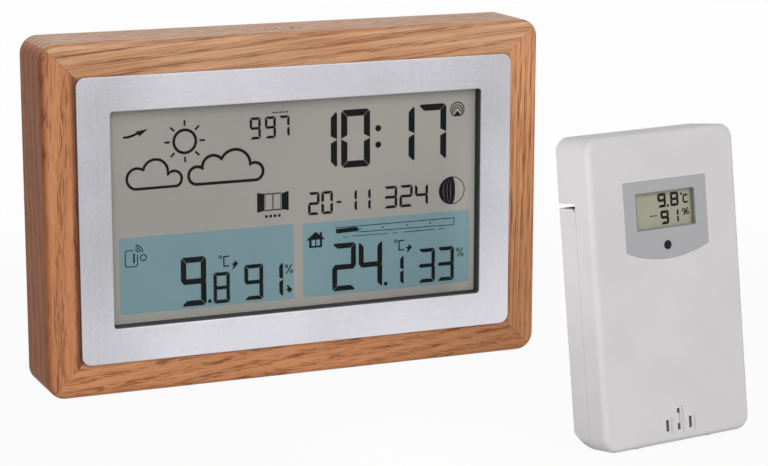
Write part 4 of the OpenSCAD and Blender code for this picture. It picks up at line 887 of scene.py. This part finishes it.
CAMERA_PLACE = Vector((-0.3118, -0.82385, 0.2402))
HEADING, DIP, TILT = 0.4034, 0.21148, 0.00162
FOCAL_PIXELS, IMAGE_WIDTH, FILM_WIDTH = 2395.3, 768, 36.0
SKY_LEVEL, FLOOR_LEVEL = 0.28, 0.6
NEAR_WHITE, FAR_WHITE, NEAR_TO_FAR = 0.94, 0.98, (130.0, 480.0)
FLOOR_HALF, FLOOR_DROP, FLOOR_MIDDLE = 6.0, 0.00005, (30.0, -70.0)
AIM = (0.03, -0.06, 0.05)
# Lamps: place, the point they face, width, height and watts
LAMPS = {
    "lamp_front": ((-0.2, -2.2, 1.1), AIM, 2.6, 2.0, 46.3),
    "lamp_right": ((0.5, -0.6, 0.25), (0.09, 0.0, 0.06), 0.3, 0.3, 0.35),
    "lamp_card": ((-0.05, -0.125, 0.085), (0.055, -0.165, 0.07), 0.05, 0.05, 0.075),
    "lamp_top": ((0.0, 0.5, 1.6), AIM, 1.2, 0.8, 3.0),
    "lamp_back": ((0.2, 2.0, 0.9), AIM, 2.0, 1.4, 1.5),
}


def add_camera():
    """A camera that looks HEADING to the right of +Y and DIP below the horizon, rolled by TILT."""
    ahead = Vector((math.sin(HEADING) * math.cos(DIP), math.cos(HEADING) * math.cos(DIP), -math.sin(DIP)))
    level = Vector((math.cos(HEADING), -math.sin(HEADING), 0))
    rise = level.cross(ahead)
    right = level * math.cos(TILT) + rise * math.sin(TILT)
    up = rise * math.cos(TILT) - level * math.sin(TILT)
    data = bpy.data.cameras.new("camera")
    data.sensor_width = FILM_WIDTH
    data.lens = FOCAL_PIXELS / IMAGE_WIDTH * FILM_WIDTH
    data.clip_start, data.clip_end = 0.01, 50
    camera = bpy.data.objects.new("camera", data)
    bpy.context.scene.collection.objects.link(camera)
    turn = Matrix((right, up, -ahead)).transposed().to_4x4()
    camera.matrix_world = Matrix.Translation(CAMERA_PLACE) @ turn
    bpy.context.scene.camera = camera


def add_lamp(name, place, aim, width, height, watts):
    """A soft rectangular lamp that faces a point."""
    data = bpy.data.lights.new(name, "AREA")
    data.shape, data.size, data.size_y, data.energy = "RECTANGLE", width, height, watts
    lamp = bpy.data.objects.new(name, data)
    lamp.visible_camera = False
    bpy.context.scene.collection.objects.link(lamp)
    place, aim = Vector(place), Vector(aim)
    lamp.matrix_world = Matrix.Translation(place) @ (aim - place).to_track_quat("-Z", "Y").to_matrix().to_4x4()


def add_floor():
    """A wide pale floor. As the camera, gloss and glass see it, it is nearly white by itself, and less so
    near the object, where it keeps the shadow."""
    f = Finish("floor_white", (FLOOR_LEVEL,) * 3 + (1,), Roughness=0.9, Specular_IOR_Level=0.1)
    x, y, _ = f.split(f.place())
    x, y = x - FLOOR_MIDDLE[0], y - FLOOR_MIDDLE[1]
    away = (x * x + y * y).root()
    white = NEAR_WHITE + (FAR_WHITE - NEAR_WHITE) * away.eased(*NEAR_TO_FAR)
    glow = f.add("Emission", None, {"Color": (1, 1, 1, 1), "Strength": 1.0})
    output = next(n for n in f.tree.nodes if n.type == "OUTPUT_MATERIAL")
    blend = f.add("MixShader", None, {0: f.seen() * white, 1: Wire(f, f.surface.outputs[0]), 2: glow})
    f.feed(output.inputs["Surface"], blend)
    mesh = bpy.data.meshes.new("floor")
    corners = np.array([(-1, -1), (1, -1), (1, 1), (-1, 1)]) * FLOOR_HALF
    mesh.from_pydata([(x, y, -FLOOR_DROP) for x, y in corners.tolist()], [], [(0, 1, 2, 3)])
    mesh.materials.append(f.material)
    floor = bpy.data.objects.new("floor", mesh)
    bpy.context.scene.collection.objects.link(floor)


def add_sky():
    """An even dim sky that the camera, gloss and glass see as white."""
    world = bpy.data.worlds.new("studio")
    world.use_nodes = True
    bpy.context.scene.world = world
    sky = Nodes(world.node_tree)
    background = next(n for n in sky.tree.nodes if n.type == "BACKGROUND")
    background.inputs["Color"].default_value = (1, 1, 1, 1)
    sky.feed(background.inputs["Strength"], SKY_LEVEL + (1 - SKY_LEVEL) * sky.seen())


add_camera()
add_floor()
add_sky()
for name, settings in LAMPS.items():
    add_lamp(name, *settings)
bpy.context.scene.view_settings.view_transform = "Standard"
